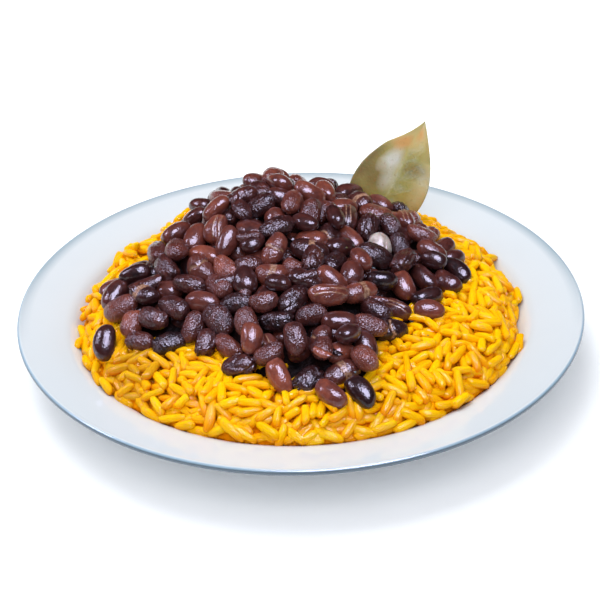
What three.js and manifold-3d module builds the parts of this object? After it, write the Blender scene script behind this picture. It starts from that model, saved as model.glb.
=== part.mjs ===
// Rice and beans plate: a white plate with a bed of yellow rice, a heap of black beans and a bay leaf.
// Millimetres, +Z up. The origin is the middle of the foot, on the table.

import * as THREE from 'three';
import { mergeVertices } from 'three/addons/utils/BufferGeometryUtils.js';
import Module from 'manifold-3d';

// ---- Plate ----
const plateRadius = 114;
const lipRadius = 1.2; // the rolled edge is a half round of this radius
const lipHeight = 20.8; // middle of the rolled edge above the table
const rimSegments = 44;
const wallThickness = 3.2;
const wellRadius = 93; // where the sloping rim turns down into the well
const wellEdgeHeight = 16.8;
const wellEdgeWidth = 3; // width of the soft edge between the rim and the well's wall
const wellFloorRadius = 76;
const wellFloorHeight = 6.4;
const wellBend = 8; // how far inside and outside of the floor's radius its bend reaches
const wellBendSegments = 3;
const lipFrom = 120; // directions in which the rolled edge starts and ends, in degrees
const lipTo = -60;
const lipSegments = 3;
const footOuterRadius = 66;
const footWidth = 6;
const footHeight = 3;
const footDraft = 1.5; // the foot ring is wider at its root by this much a side

// ---- Rice ----
const riceCrown = lipHeight + 8; // top of the bed, under the beans
const riceShoulder = lipHeight + 3.6; // height where the bed starts to fall to its edge
const riceShoulderRadius = 80;
const riceEdgeFall = 15; // width of the rounded edge of the bed
const riceEdgeRoundness = 2.2;
const riceEdgeSink = 0.5; // the edge runs out this far below the glaze, so that it meets it
const riceRings = [0.4, 0.66, 0.8, 0.9, 0.96, 1]; // shares of the way to the bed's edge
const riceSectors = 36;
const riceUnevenness = 0.7;
const riceDepth = 2; // the bed is made this far down past the well's floor, and then cut to the well
// Reach of the bed against the plate wall, as [direction in degrees, radius].
const riceReach = [
  [5, 90], [14, 86], [24, 90], [34, 88], [48, 90], [70, 86], [95, 88], [121, 89], [133, 85],
  [143, 81], [157, 86], [165, 81], [178, 87], [195, 90], [215, 91.5], [270, 91.8], [318, 91.5],
  [338, 90.5], [350, 87.5],
];
const grainLength = 8.4;
const grainWidth = 2.9;
const grainCount = 116;
const grainSpacing = 7.4;
const grainTilt = 17; // degrees, up or down
const grainSink = 0.2; // share of a grain's width by which its middle lies above the bed
const smallestGrain = 0.86; // sizes run from this share of the usual length
const largestGrain = 1.16; // to this one
const grainTries = 6000;
const grainMargin = 2; // from the bed's edge in to the outermost grain's middle
const coveredRadius = 20; // the middle of the bed always lies under beans
const grainLeanLimit = 0.8; // on the bed's steep edge a grain's upper side still faces up this much

// ---- Bean heap ----
const heapSummit = [-10, 32];
const heapHeight = lipHeight + 39; // top of the highest beans
const heapEdgeHeight = lipHeight + 13; // top of the beans that lie at the edge
const heapRoundness = 1.5;
const heapRightFall = 0.35; // how much less round the heap is towards +X
// Outline of the heap on the rice, going round from the right.
const heapOutline = [
  [71, 8], [68, 26], [60, 34], [50, 48], [38, 60], [14, 71], [-14, 72], [-36, 63], [-50, 50],
  [-56, 36], [-58, 20], [-66, 10], [-79, -2], [-81, -20], [-68, -40], [-54, -47], [-42, -47],
  [-29, -54], [-24, -65], [-6, -73], [13, -80], [26, -78], [29, -58], [40, -41], [53, -26], [62, -8],
];
const beanLength = 14.4;
const beanWidth = 9.8;
const beanThickness = 8.2;
const beanSpread = 0.12; // share by which a bean's size varies
const beanSlopeFollow = 0.6; // how far a bean's broad side leans with the heap
const slopeReach = 3; // the heap's slope under a bean is measured this far to either side
const spotDraws = 8; // spots drawn at a time, of which the emptiest is kept
const beanTries = 26; // places tried for each bean, of which the lowest is kept
const beanTryReach = 4; // how far from one spot these are drawn
const beanTryRise = 26; // degrees
const beanTryRoll = 40; // degrees
const beanMargin = 5; // from the outline in to the nearest bean's middle
const smallBean = 0.86; // size of the beans that fill the last gaps
const baseDepth = 6; // the first beans stay this far below the surface of the heap
const proudOfHeap = 2; // and the last ones may stand out of it by this much
const edgeRowInset = 6; // from the outline in to the row of beans along it
const edgeRowStep = 9; // from one bean of it to the next, at least
const edgeRowSpread = 4; // and at most this much more
const edgeRowTurn = 1.3; // radians by which such a bean is turned from pointing outwards, at most
const edgeRowGap = 11; // from that row to a bean laid by hand
const edgeRowRoll = 16; // degrees
const beanHardShare = 0.91; // soft skins press together by what is left over
const beanSides = 5;
const grainSides = 4;
const roundBands = 3; // bands between the poles of a bean or a grain
const beansShown = 172;
const beanSpacing = 8;
const beanShownShare = 0.25; // beans less open than this are left to the core
const heapCoreDepth = 2.6; // from the mean height of the settled beans down to the core
const heapCoreInset = 2.8;
const heapCoreSkirt = 2.8; // height of the core's edge above the rice
const heapCoreReach = 7; // the settled beans are averaged over this radius
const heapCoreSunk = 6; // from the rice's shoulder down to the core's floor
const heapRings = [0.3, 0.55, 0.75, 0.9, 1];
const heapSectors = 28;
// Beans laid by hand, as [x, y, turn, rise, length, width]: turn is the direction of the long
// axis and rise is how far its far end is lifted, both in degrees.
const laidBeans = [
  [24, -55, 112, 24, 13.6, 9.2], [34, -41, 20, 0, 14.2, 9.4], [21, -77, 130, 12, 14.2, 9.4],
  [10, -78, 132, 10, 13.6, 8.6], [-8, -69, 112, 26, 14.6, 8.2], [2, -70, 42, 0, 13.2, 9.8],
  [14, -67, 32, 6, 14.8, 9.6], [-2, -57, 98, 28, 13.6, 9.2], [-11, -54, 112, 24, 13.4, 8],
  [-23, -61, 4, 0, 13.2, 9.8], [-20, -45, 100, 26, 12.8, 9.6], [-27, -48, 130, 14, 14.6, 8.2],
  [-9, -44, 174, 0, 13.6, 8], [4, -43, 10, 0, 12.4, 8.4], [6, -53, 62, 10, 12.8, 8],
  [23, -39, 20, 0, 11.6, 9], [29, -33, 150, 0, 13.4, 9], [37, -27, 154, 0, 12.6, 8.6],
  [11, -35, 8, 0, 16, 10.2], [24, -27, 28, 0, 14.8, 9], [-24, -32, 176, 0, 13.8, 9.8],
  [-61, -41, 160, 0, 11.6, 8.8], [-65, -33, 70, 16, 12, 9.2], [-57, -34, 148, 0, 13.2, 9],
  [-50, -44, 16, 0, 13.4, 9.4], [-42, -39, 70, 14, 13.4, 8.8], [-35, -45, 72, 8, 12.6, 8.4],
  [-73, -14, 54, 16, 14.8, 9.2], [-65, -8, 6, 0, 12.6, 8], [-51, -18, 166, 0, 12.4, 10],
  [-38, -14, 122, 20, 14, 9.8], [-30, -15, 128, 14, 14, 9.4], [-50, -32, 140, 0, 13.4, 9.6],
  [-40, -29, 164, 0, 14, 9], [50, -27, 176, 0, 12.4, 9], [50, -18, 30, 0, 14.6, 8.4],
  [59, -6, 134, 0, 13, 9], [64, 3, 130, 6, 15, 8.6], [50, -4, 126, 8, 15, 9],
  [41, -14, 116, 18, 13.6, 9.6], [60, 22, 44, 14, 14, 8.4], [63, 13, 30, 8, 13, 8],
  [33, 7, 106, 20, 11.8, 9.8], [32, -18, 4, 0, 12.6, 8.4], [20, -19, 88, 22, 12, 10],
  [-37, -4, 152, 0, 15, 9], [-18, 5, 144, 8, 15, 10.2], [-8, 12, 116, 22, 14, 10],
];
const laidShift = 4; // how far such a bean may be moved to nestle between the others
const laidProud = 1; // how far it may stand out of the heap before it is moved
const laidShiftCost = 0.5; // a millimetre of shift weighs this much against one of standing out
// One bean has rolled off the heap onto the rice: [x, y, turn, rise, length, width].
const strayBean = [-75, -38, 84, 44, 14.6, 9.6];

// ---- Bay leaf ----
const leafFullLength = 68; // tip to stalk, for the outline; the stalk end is out of sight
const leafLength = 56; // tip to where it goes into the rice
const leafWidth = 35;
const leafThickness = 0.8;
const leafFoot = [33, 57, lipHeight - 1]; // lower end of the midrib, before the rice cuts it off
const leafSideLean = 23.4; // degrees towards +X
const leafBackLean = 2; // degrees away from the heap
const leafFold = 3.2; // how far the edges stand back from the midrib
const leafFoldPower = 1.6;
const leafWave = 0.9;
const leafWaves = 1.2; // waves along the length
const leafWaveStart = 0.6; // radians
const leafFullness = 0.85; // below 1 the outline is blunter than a sine
const leafTipHalfWidth = 0.4;
const leafBend = 1.8; // sideways bow of the midrib
const leafRoom = 0.7; // share of its length along which the leaf keeps the beans away
const leafRoomSteps = [0.02, 0.05]; // up its length and across it
const leafRows = 9;
const leafColumns = 6;

// ---- Shared ----
const clearance = 0.35; // left between pieces that touch
const cellSize = 1; // grid on which beans are let down onto what lies below
const gridReach = 96;
const skyHeight = heapHeight + 20; // higher than all the food
const nearEdge = 0.99; // a mound's points beyond this share lie on its edge
const bareLimit = 0.1; // rice covered by less than this is bare
const degree = Math.PI / 180;

function seededRandom(seed) {
  let state = seed;
  return () => {
    state = (Math.imul(state, 1664525) + 1013904223) >>> 0;
    return state / 4294967296;
  };
}

// ---- Joining and cutting ----
const wasm = await Module();
wasm.setup();

// The same shape with its shared corners merged.
function weld(geometry) {
  const bare = geometry.clone();
  bare.deleteAttribute('normal');
  bare.deleteAttribute('uv');
  return mergeVertices(bare, 1e-4);
}

function toSolid(geometry) {
  const welded = weld(geometry);
  return new wasm.Manifold(new wasm.Mesh({
    numProp: 3,
    vertProperties: new Float32Array(welded.attributes.position.array),
    triVerts: new Uint32Array(welded.index.array),
  }));
}

function toGeometry(solid) {
  const mesh = solid.getMesh();
  const geometry = new THREE.BufferGeometry();
  geometry.setAttribute('position', new THREE.BufferAttribute(mesh.vertProperties, 3));
  geometry.setIndex(new THREE.BufferAttribute(mesh.triVerts, 1));
  geometry.computeVertexNormals();
  return geometry;
}

// The largest piece of a solid: scraps that hang on nothing are dropped.
function largestPiece(solid) {
  const pieces = solid.decompose();
  return pieces.reduce((best, piece) => (piece.volume() > best.volume() ? piece : best));
}

// A lathe turns about Y: this stands it on Z.
function standing(geometry) {
  return geometry.rotateX(Math.PI / 2);
}

// ---- Plate ----
// Points of an arc from one angle to another, in degrees, both ends included.
function arcPoints(centreX, centreY, radius, from, to, steps) {
  const points = [];
  for (let i = 0; i <= steps; i++) {
    const angle = (from + (to - from) * i / steps) * degree;
    points.push(new THREE.Vector2(centreX + radius * Math.cos(angle), centreY + radius * Math.sin(angle)));
  }
  return points;
}

// Upper face of the plate from the middle of the well to the top of the rolled edge.
function upperFace() {
  const floorBend = new THREE.QuadraticBezierCurve(
    new THREE.Vector2(wellFloorRadius - wellBend, wellFloorHeight),
    new THREE.Vector2(wellFloorRadius + wellBend * 0.75, wellFloorHeight),
    new THREE.Vector2(wellRadius - wellEdgeWidth, wellEdgeHeight - wellEdgeWidth * 0.85),
  );
  return [
    new THREE.Vector2(0, wellFloorHeight),
    ...floorBend.getPoints(wellBendSegments),
    new THREE.Vector2(wellRadius, wellEdgeHeight),
    new THREE.Vector2(wellRadius + wellEdgeWidth, wellEdgeHeight + wellEdgeWidth / 3),
  ];
}

function plateGeometry() {
  const lip = arcPoints(plateRadius - lipRadius, lipHeight, lipRadius, lipFrom, lipTo, lipSegments);
  const footInnerRadius = footOuterRadius - footWidth;
  const under = [
    new THREE.Vector2(wellRadius + 1, wellEdgeHeight - wallThickness),
    new THREE.Vector2(wellFloorRadius + wellBend / 2, (wellFloorHeight + footHeight) / 2),
    new THREE.Vector2(footOuterRadius + footDraft, footHeight),
    new THREE.Vector2(footOuterRadius, 0),
    new THREE.Vector2(footInnerRadius, 0),
    new THREE.Vector2(footInnerRadius - footDraft, footHeight),
    new THREE.Vector2(0, footHeight),
  ];
  const profile = [...upperFace(), ...lip, ...under].reverse();
  return standing(new THREE.LatheGeometry(profile, rimSegments));
}

// Everything above the well, down to a clearance from its glaze: what the rice may fill.
function wellSpace() {
  const lifted = upperFace().map((point) => {
    const radius = Math.max(point.x - clearance * 0.6, 0);
    return new THREE.Vector2(radius, point.y + clearance);
  });
  const profile = [...lifted, new THREE.Vector2(wellRadius, skyHeight), new THREE.Vector2(0, skyHeight)];
  return toSolid(standing(new THREE.LatheGeometry(profile, rimSegments)));
}

// ---- Heights of the food ----
// Value between the two neighbours of an angle in a list of [degrees, value] sorted by degrees.
function aroundValue(list, angle) {
  const turn = ((angle / degree) % 360 + 360) % 360;
  let next = list.findIndex((entry) => entry[0] > turn);
  if (next < 0) next = list.length;
  const before = list[(next + list.length - 1) % list.length];
  const after = list[next % list.length];
  const span = ((after[0] - before[0]) % 360 + 360) % 360;
  const share = (((turn - before[0]) % 360 + 360) % 360) / span;
  return before[1] + (after[1] - before[1]) * share;
}

function riceEdge(angle) {
  return aroundValue(riceReach, angle);
}

function plateHeight(radius) {
  const face = upperFace();
  for (let i = 1; i < face.length; i++) {
    if (radius <= face[i].x) {
      const share = (radius - face[i - 1].x) / (face[i].x - face[i - 1].x);
      return face[i - 1].y + (face[i].y - face[i - 1].y) * share;
    }
  }
  return wellEdgeHeight;
}

function riceTop(x, y) {
  const radius = Math.hypot(x, y);
  const edge = riceEdge(Math.atan2(y, x));
  const dome = riceCrown - (riceCrown - riceShoulder) * (radius / riceShoulderRadius) ** 2;
  const fall = Math.min(Math.max((radius - edge + riceEdgeFall) / riceEdgeFall, 0), 1);
  const foot = plateHeight(edge) - riceEdgeSink;
  return foot + (dome - foot) * (1 - fall ** riceEdgeRoundness);
}

const outlineByAngle = heapOutline
  .map(([x, y]) => [
    (Math.atan2(y - heapSummit[1], x - heapSummit[0]) / degree + 360) % 360,
    Math.hypot(x - heapSummit[0], y - heapSummit[1]),
  ])
  .sort((a, b) => a[0] - b[0]);

// Share of the way from the summit to the outline: 0 at the summit, 1 on the outline.
function heapShare(x, y) {
  const dx = x - heapSummit[0];
  const dy = y - heapSummit[1];
  return Math.hypot(dx, dy) / aroundValue(outlineByAngle, Math.atan2(dy, dx));
}

// Distance in from the outline, along the line to the summit.
function heapInset(x, y) {
  const distance = Math.hypot(x - heapSummit[0], y - heapSummit[1]);
  return distance / Math.max(heapShare(x, y), 1e-6) - distance;
}

function heapTop(x, y) {
  const share = Math.min(heapShare(x, y), 1);
  const rightward = Math.max(Math.cos(Math.atan2(y - heapSummit[1], x - heapSummit[0])), 0);
  const roundness = heapRoundness - heapRightFall * rightward;
  return heapEdgeHeight + (heapHeight - heapEdgeHeight) * (1 - share ** roundness);
}

// ---- Leaf surface ----
// How far the leaf's face stands back, across from the midrib (-1 to 1) and up its length (0 to 1).
function leafDepth(side, rise) {
  const fold = leafFold * Math.abs(side) ** leafFoldPower;
  const wave = leafWave * side * Math.sin(2 * Math.PI * leafWaves * rise + leafWaveStart);
  return fold + wave;
}

function leafHalfWidth(rise) {
  const fromTip = leafLength * (1 - rise);
  const roundness = Math.sin(Math.PI * fromTip / leafFullLength) ** leafFullness;
  return Math.max(leafWidth / 2 * roundness, leafTipHalfWidth);
}

const leafPlace = new THREE.Matrix4()
  .makeRotationX(-leafBackLean * degree)
  .multiply(new THREE.Matrix4().makeRotationY(leafSideLean * degree))
  .setPosition(...leafFoot);

// A point of the leaf's middle surface, moved back by an offset across its thickness.
function leafPoint(side, rise, offset) {
  const across = side * leafHalfWidth(rise) - leafBend * Math.sin(Math.PI * rise);
  const point = new THREE.Vector3(across, leafDepth(side, rise) + offset, rise * leafLength);
  return point.applyMatrix4(leafPlace);
}

// ---- Letting beans down one after another ----
const gridCells = 2 * Math.round(gridReach / cellSize) + 1;
const ground = new Float64Array(gridCells * gridCells);
const owner = new Int32Array(gridCells * gridCells).fill(-1);
for (let j = 0; j < gridCells; j++) {
  for (let i = 0; i < gridCells; i++) {
    ground[j * gridCells + i] = riceTop(i * cellSize - gridReach, j * cellSize - gridReach);
  }
}

function cellAt(x, y) {
  return Math.round((y + gridReach) / cellSize) * gridCells + Math.round((x + gridReach) / cellSize);
}

// A bean as an ellipsoid: its three axes and half sizes, and the matrix of its surface.
function makeBean(x, y, turn, rise, roll, length, width, thickness) {
  const slopeX = (heapTop(x + slopeReach, y) - heapTop(x - slopeReach, y)) / (2 * slopeReach);
  const slopeY = (heapTop(x, y + slopeReach) - heapTop(x, y - slopeReach)) / (2 * slopeReach);
  const up = new THREE.Vector3(-slopeX * beanSlopeFollow, -slopeY * beanSlopeFollow, 1).normalize();
  const along = new THREE.Vector3(Math.cos(turn), Math.sin(turn), 0);
  along.addScaledVector(up, -along.dot(up)).normalize();
  const across = new THREE.Vector3().crossVectors(up, along);
  along.applyAxisAngle(across, -rise);
  up.applyAxisAngle(across, -rise);
  up.applyAxisAngle(along, roll);
  across.applyAxisAngle(along, roll);
  const half = [length / 2, width / 2, thickness / 2];
  const hard = half.map((value) => value * beanHardShare);
  const form = [0, 0, 0, 0, 0, 0]; // xx, xy, xz, yy, yz, zz
  [along, across, up].forEach((axis, k) => {
    const weight = 1 / (hard[k] * hard[k]);
    form[0] += axis.x * axis.x * weight;
    form[1] += axis.x * axis.y * weight;
    form[2] += axis.x * axis.z * weight;
    form[3] += axis.y * axis.y * weight;
    form[4] += axis.y * axis.z * weight;
    form[5] += axis.z * axis.z * weight;
  });
  return { x, y, z: 0, along, across, up, half, form };
}

// Calls visit(cell, bottom, top) for every cell under a bean, with heights from its middle.
function overCells(bean, visit) {
  const [xx, xy, xz, yy, yz, zz] = bean.form;
  const reach = bean.half[0];
  const firstX = Math.ceil((bean.x - reach + gridReach) / cellSize);
  const lastX = Math.floor((bean.x + reach + gridReach) / cellSize);
  const firstY = Math.ceil((bean.y - reach + gridReach) / cellSize);
  const lastY = Math.floor((bean.y + reach + gridReach) / cellSize);
  for (let j = firstY; j <= lastY; j++) {
    const dy = j * cellSize - gridReach - bean.y;
    for (let i = firstX; i <= lastX; i++) {
      const dx = i * cellSize - gridReach - bean.x;
      const b = xz * dx + yz * dy;
      const c = xx * dx * dx + 2 * xy * dx * dy + yy * dy * dy - 1;
      const inside = b * b - zz * c;
      if (inside <= 0) continue;
      const root = Math.sqrt(inside);
      visit(j * gridCells + i, (-b - root) / zz, (-b + root) / zz);
    }
  }
}

// Lets a bean down until it rests, and counts how much of it would cover beans that it has to
// keep off, given as a range of their numbers.
function settle(bean, keepOff = { from: 0, to: 0 }) {
  let rest = -Infinity;
  let cells = 0;
  let covered = 0;
  overCells(bean, (cell, bottom) => {
    rest = Math.max(rest, ground[cell] - bottom);
    cells += 1;
    if (owner[cell] >= keepOff.from && owner[cell] < keepOff.to) covered += 1;
  });
  bean.z = rest;
  bean.covers = covered / cells;
  return bean;
}

const beans = [];
function lay(bean) {
  overCells(bean, (cell, bottom, top) => {
    if (bean.z + top > ground[cell]) {
      ground[cell] = bean.z + top;
      owner[cell] = beans.length;
    }
  });
  beans.push(bean);
}

const random = seededRandom(20611);
const either = (reach) => reach * (2 * random() - 1);
const around = (middle, share) => middle * (1 + either(share));
const heapWest = Math.min(...heapOutline.map((point) => point[0]));
const heapSouth = Math.min(...heapOutline.map((point) => point[1]));
const heapSpan = 156; // of the square in which spots are drawn

// The place where the heap is furthest from full, of a few drawn at random.
function emptySpot() {
  let spot = null;
  let deepest = -Infinity;
  for (let k = 0; k < spotDraws; k++) {
    const x = heapWest + heapSpan * random();
    const y = heapSouth + heapSpan * random();
    if (heapInset(x, y) < beanMargin + 1) continue;
    const depth = heapTop(x, y) - ground[cellAt(x, y)];
    if (depth > deepest) {
      deepest = depth;
      spot = [x, y];
    }
  }
  return spot;
}

// Fills the heap up to a given depth below its surface, until that many spots in a row have
// taken no bean: of a few tries near one spot, the lowest bean is kept.
function fillHeap({ depth, misses, size = 1, coverLimit = 1, keepOff }) {
  let missed = 0;
  while (missed < misses) {
    const spot = emptySpot();
    if (!spot) continue;
    const length = around(beanLength * size, beanSpread);
    const width = around(beanWidth * size, beanSpread * 0.7);
    const thickness = around(beanThickness * size, beanSpread * 0.7);
    let best = null;
    for (let k = 0; k < beanTries; k++) {
      const x = spot[0] + either(beanTryReach);
      const y = spot[1] + either(beanTryReach);
      const turn = Math.PI * random();
      const rise = either(beanTryRise * degree);
      const roll = either(beanTryRoll * degree);
      const bean = settle(makeBean(x, y, turn, rise, roll, length, width, thickness), keepOff);
      if (bean.covers > coverLimit || heapInset(x, y) < beanMargin) continue;
      const excess = bean.z + thickness / 2 - heapTop(x, y) + depth;
      if (excess < 0 && (!best || bean.z < best.z)) best = bean;
    }
    if (best) {
      lay(best);
      missed = 0;
    } else {
      missed += 1;
    }
  }
}

// Lays a bean near a spot: it is shifted a little where it would stand proud of the heap.
function nestle(x, y, turn, rise, length, width) {
  let best = null;
  let lowest = Infinity;
  for (let dy = -laidShift; dy <= laidShift; dy += cellSize) {
    for (let dx = -laidShift; dx <= laidShift; dx += cellSize) {
      const bean = settle(makeBean(x + dx, y + dy, turn, rise, 0, length, width, beanThickness));
      const proud = bean.z + beanThickness / 2 - heapTop(bean.x, bean.y);
      const cost = Math.max(proud - laidProud, 0) + laidShiftCost * Math.hypot(dx, dy);
      if (cost < lowest) {
        lowest = cost;
        best = bean;
      }
    }
  }
  return best;
}

// One row of beans on the rice round the heap's edge, where none is laid by hand or held up by the leaf.
function layEdgeRow() {
  let turn = 0;
  while (turn < 2 * Math.PI) {
    const reach = aroundValue(outlineByAngle, turn) - edgeRowInset;
    const x = heapSummit[0] + reach * Math.cos(turn);
    const y = heapSummit[1] + reach * Math.sin(turn);
    const length = around(beanLength, beanSpread);
    const width = around(beanWidth, beanSpread * 0.7);
    const roll = either(edgeRowRoll * degree);
    const heading = turn + either(edgeRowTurn);
    const bean = settle(makeBean(x, y, heading, 0, roll, length, width, beanThickness));
    const clear = laidBeans.every(([laidX, laidY]) => Math.hypot(laidX - x, laidY - y) > edgeRowGap);
    if (clear && bean.z - riceTop(x, y) < beanThickness) lay(bean);
    turn += (edgeRowStep + edgeRowSpread * random()) / reach;
  }
}

// Nothing comes to rest across the standing leaf.
function blockLeaf() {
  const [riseStep, sideStep] = leafRoomSteps;
  for (let rise = 0; rise < leafRoom; rise += riseStep) {
    for (let side = -1; side <= 1; side += sideStep) {
      const point = leafPoint(side, rise, 0);
      ground[cellAt(point.x, point.y)] = skyHeight;
    }
  }
}

blockLeaf();
layEdgeRow();
fillHeap({ depth: baseDepth, misses: 80 });
const firstLaid = beans.length;
for (const [x, y, turn, rise, length, width] of laidBeans) {
  lay(nestle(x, y, turn * degree, rise * degree, length, width));
}
const handLaid = { from: firstLaid, to: beans.length };
fillHeap({ depth: -proudOfHeap, misses: 240, coverLimit: 0.14, keepOff: handLaid });
fillHeap({ depth: -proudOfHeap - 1, misses: 300, size: smallBean, coverLimit: 0.16, keepOff: handLaid });
const heapBeans = beans.length;
const [strayX, strayY, strayTurn, strayRise, strayLength, strayWidth] = strayBean;
lay(settle(makeBean(
  strayX, strayY, strayTurn * degree, strayRise * degree, 0, strayLength, strayWidth, beanThickness,
)));

// Share of each bean's footprint that nothing lies on.
function openShares() {
  return beans.map((bean, k) => {
    let cells = 0;
    let open = 0;
    overCells(bean, (cell) => {
      cells += 1;
      if (owner[cell] === k) open += 1;
    });
    return open / cells;
  });
}

// ---- Shapes ----
// A mound with a flat floor: rings at shares of the way from its middle to its edge.
function moundGeometry({ middle, edge, rings, sectors, height, floor }) {
  const profile = [[0, 0], [1, 0], ...rings.map((share) => [share, 1]).reverse(), [0, 1]];
  const lathe = new THREE.LatheGeometry(profile.map((p) => new THREE.Vector2(...p)), sectors);
  const geometry = weld(standing(lathe));
  const position = geometry.attributes.position;
  for (let i = 0; i < position.count; i++) {
    const share = Math.hypot(position.getX(i), position.getY(i));
    const angle = Math.atan2(position.getY(i), position.getX(i));
    const reach = share * edge(angle);
    const x = middle[0] + reach * Math.cos(angle);
    const y = middle[1] + reach * Math.sin(angle);
    position.setXYZ(i, x, y, position.getZ(i) > 0.5 ? height(x, y, share) : floor);
  }
  return geometry;
}

// A ball with few sides, stretched along its poles and laid along given axes.
function fewSided(sides, half, along, across, up, place) {
  const geometry = new THREE.SphereGeometry(1, sides, roundBands);
  const roundness = 1 / Math.cos(Math.PI / sides) ** 0.4; // a facet's loss, shared in and out
  geometry.scale(half[1] * roundness, half[0], half[2] * roundness);
  const axes = new THREE.Matrix4().makeBasis(across.clone().negate(), along, up);
  axes.setPosition(place);
  return geometry.applyMatrix4(axes);
}

function beanSolid(bean) {
  const place = new THREE.Vector3(bean.x, bean.y, bean.z);
  return toSolid(fewSided(beanSides, bean.half, bean.along, bean.across, bean.up, place));
}

// A thin sheet between two faces that are split alike, closed all round its edge.
function leafGeometry(thickness) {
  const front = new THREE.PlaneGeometry(2, 1, leafColumns, leafRows);
  const grid = front.attributes.position;
  const count = grid.count;
  const points = [];
  for (const offset of [-thickness / 2, thickness / 2]) {
    for (let i = 0; i < count; i++) {
      points.push(...leafPoint(grid.getX(i), grid.getY(i) + 0.5, offset).toArray());
    }
  }
  const faces = Array.from(front.index.array);
  const index = [...faces];
  for (let i = 0; i < faces.length; i += 3) {
    index.push(faces[i] + count, faces[i + 2] + count, faces[i + 1] + count);
  }
  const rim = leafRim();
  rim.forEach((a, i) => {
    const b = rim[(i + 1) % rim.length];
    index.push(b, a, a + count, b, a + count, b + count);
  });
  const geometry = new THREE.BufferGeometry();
  geometry.setAttribute('position', new THREE.Float32BufferAttribute(points, 3));
  geometry.setIndex(index);
  return geometry;
}

// Point numbers round the edge of the leaf's grid, anticlockwise seen from the front.
function leafRim() {
  const perRow = leafColumns + 1;
  const rim = [];
  for (let row = 0; row < leafRows; row++) rim.push(row * perRow);
  for (let column = 0; column < leafColumns; column++) rim.push(leafRows * perRow + column);
  for (let row = leafRows; row > 0; row--) rim.push(row * perRow + leafColumns);
  for (let column = leafColumns; column > 0; column--) rim.push(column);
  return rim;
}

// ---- Rice ----
function riceCore() {
  const uneven = seededRandom(71);
  const mound = moundGeometry({
    middle: [0, 0],
    edge: riceEdge,
    rings: riceRings,
    sectors: riceSectors,
    height: (x, y, share) => riceTop(x, y) - (share < nearEdge ? riceUnevenness * uneven() : 0),
    floor: wellFloorHeight - riceDepth,
  });
  return toSolid(mound).intersect(wellSpace());
}

// True where neither a bean nor the heap's core lies on the rice.
function isBareRice(x, y) {
  return ground[cellAt(x, y)] < riceTop(x, y) + bareLimit && heapInset(x, y) < heapCoreInset - cellSize;
}

// True where the rice is bare within a distance of a spot.
function isOpenRice(x, y, reach) {
  for (let dy = -reach; dy <= reach; dy += cellSize) {
    for (let dx = -reach; dx <= reach; dx += cellSize) {
      if (Math.hypot(dx, dy) <= reach && !isBareRice(x + dx, y + dy)) return false;
    }
  }
  return true;
}

// Grains that lie on the bed, drawn evenly over the rice that shows.
function grainsOnTop() {
  const draw = seededRandom(4402);
  const grains = [];
  for (let tries = 0; tries < grainTries && grains.length < grainCount; tries++) {
    const angle = 2 * Math.PI * draw();
    const radius = riceEdge(angle) * Math.sqrt(draw()) - grainMargin;
    const x = radius * Math.cos(angle);
    const y = radius * Math.sin(angle);
    const turn = Math.PI * draw();
    const tilt = grainTilt * degree * (2 * draw() - 1);
    const size = smallestGrain + (largestGrain - smallestGrain) * draw();
    const apart = grains.every((other) => Math.hypot(other.x - x, other.y - y) > grainSpacing);
    if (radius < coveredRadius || !apart || !isOpenRice(x, y, grainLength / 2 + 1)) continue;
    grains.push({ x, y, turn, tilt, size });
  }
  return grains;
}

function grainSolid({ x, y, turn, tilt, size }) {
  const slopeX = (riceTop(x + 1, y) - riceTop(x - 1, y)) / 2;
  const slopeY = (riceTop(x, y + 1) - riceTop(x, y - 1)) / 2;
  const upward = Math.max(1, grainLeanLimit * Math.hypot(slopeX, slopeY));
  const up = new THREE.Vector3(-slopeX, -slopeY, upward).normalize();
  const along = new THREE.Vector3(Math.cos(turn), Math.sin(turn), 0);
  along.addScaledVector(up, -along.dot(up)).normalize();
  const across = new THREE.Vector3().crossVectors(up, along);
  along.applyAxisAngle(across, tilt);
  up.applyAxisAngle(across, tilt);
  const half = [grainLength * size / 2, grainWidth / 2, grainWidth / 2];
  const place = new THREE.Vector3(x, y, riceTop(x, y) + grainWidth * grainSink);
  return toSolid(fewSided(grainSides, half, along, across, up, place));
}

function riceSolid(core) {
  const bumps = grainsOnTop().map(grainSolid);
  return largestPiece(bumps.reduce((whole, grain) => whole.add(grain), core).intersect(wellSpace()));
}

// ---- Beans ----
// Mean height of what has settled around a spot, without the room kept for the leaf.
function meanGround(x, y) {
  let sum = 0;
  let cells = 0;
  for (let dy = -heapCoreReach; dy <= heapCoreReach; dy += cellSize) {
    for (let dx = -heapCoreReach; dx <= heapCoreReach; dx += cellSize) {
      if (Math.hypot(dx, dy) > heapCoreReach) continue;
      sum += Math.min(ground[cellAt(x + dx, y + dy)], heapTop(x + dx, y + dy));
      cells += 1;
    }
  }
  return sum / cells;
}

function heapCore() {
  return toSolid(moundGeometry({
    middle: heapSummit,
    edge: (angle) => aroundValue(outlineByAngle, angle) - heapCoreInset,
    rings: heapRings,
    sectors: heapSectors,
    height: (x, y, share) => {
      const skirt = riceTop(x, y) + heapCoreSkirt;
      return share > nearEdge ? skirt : Math.max(meanGround(x, y) - heapCoreDepth, skirt);
    },
    floor: riceShoulder - heapCoreSunk,
  }));
}

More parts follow.
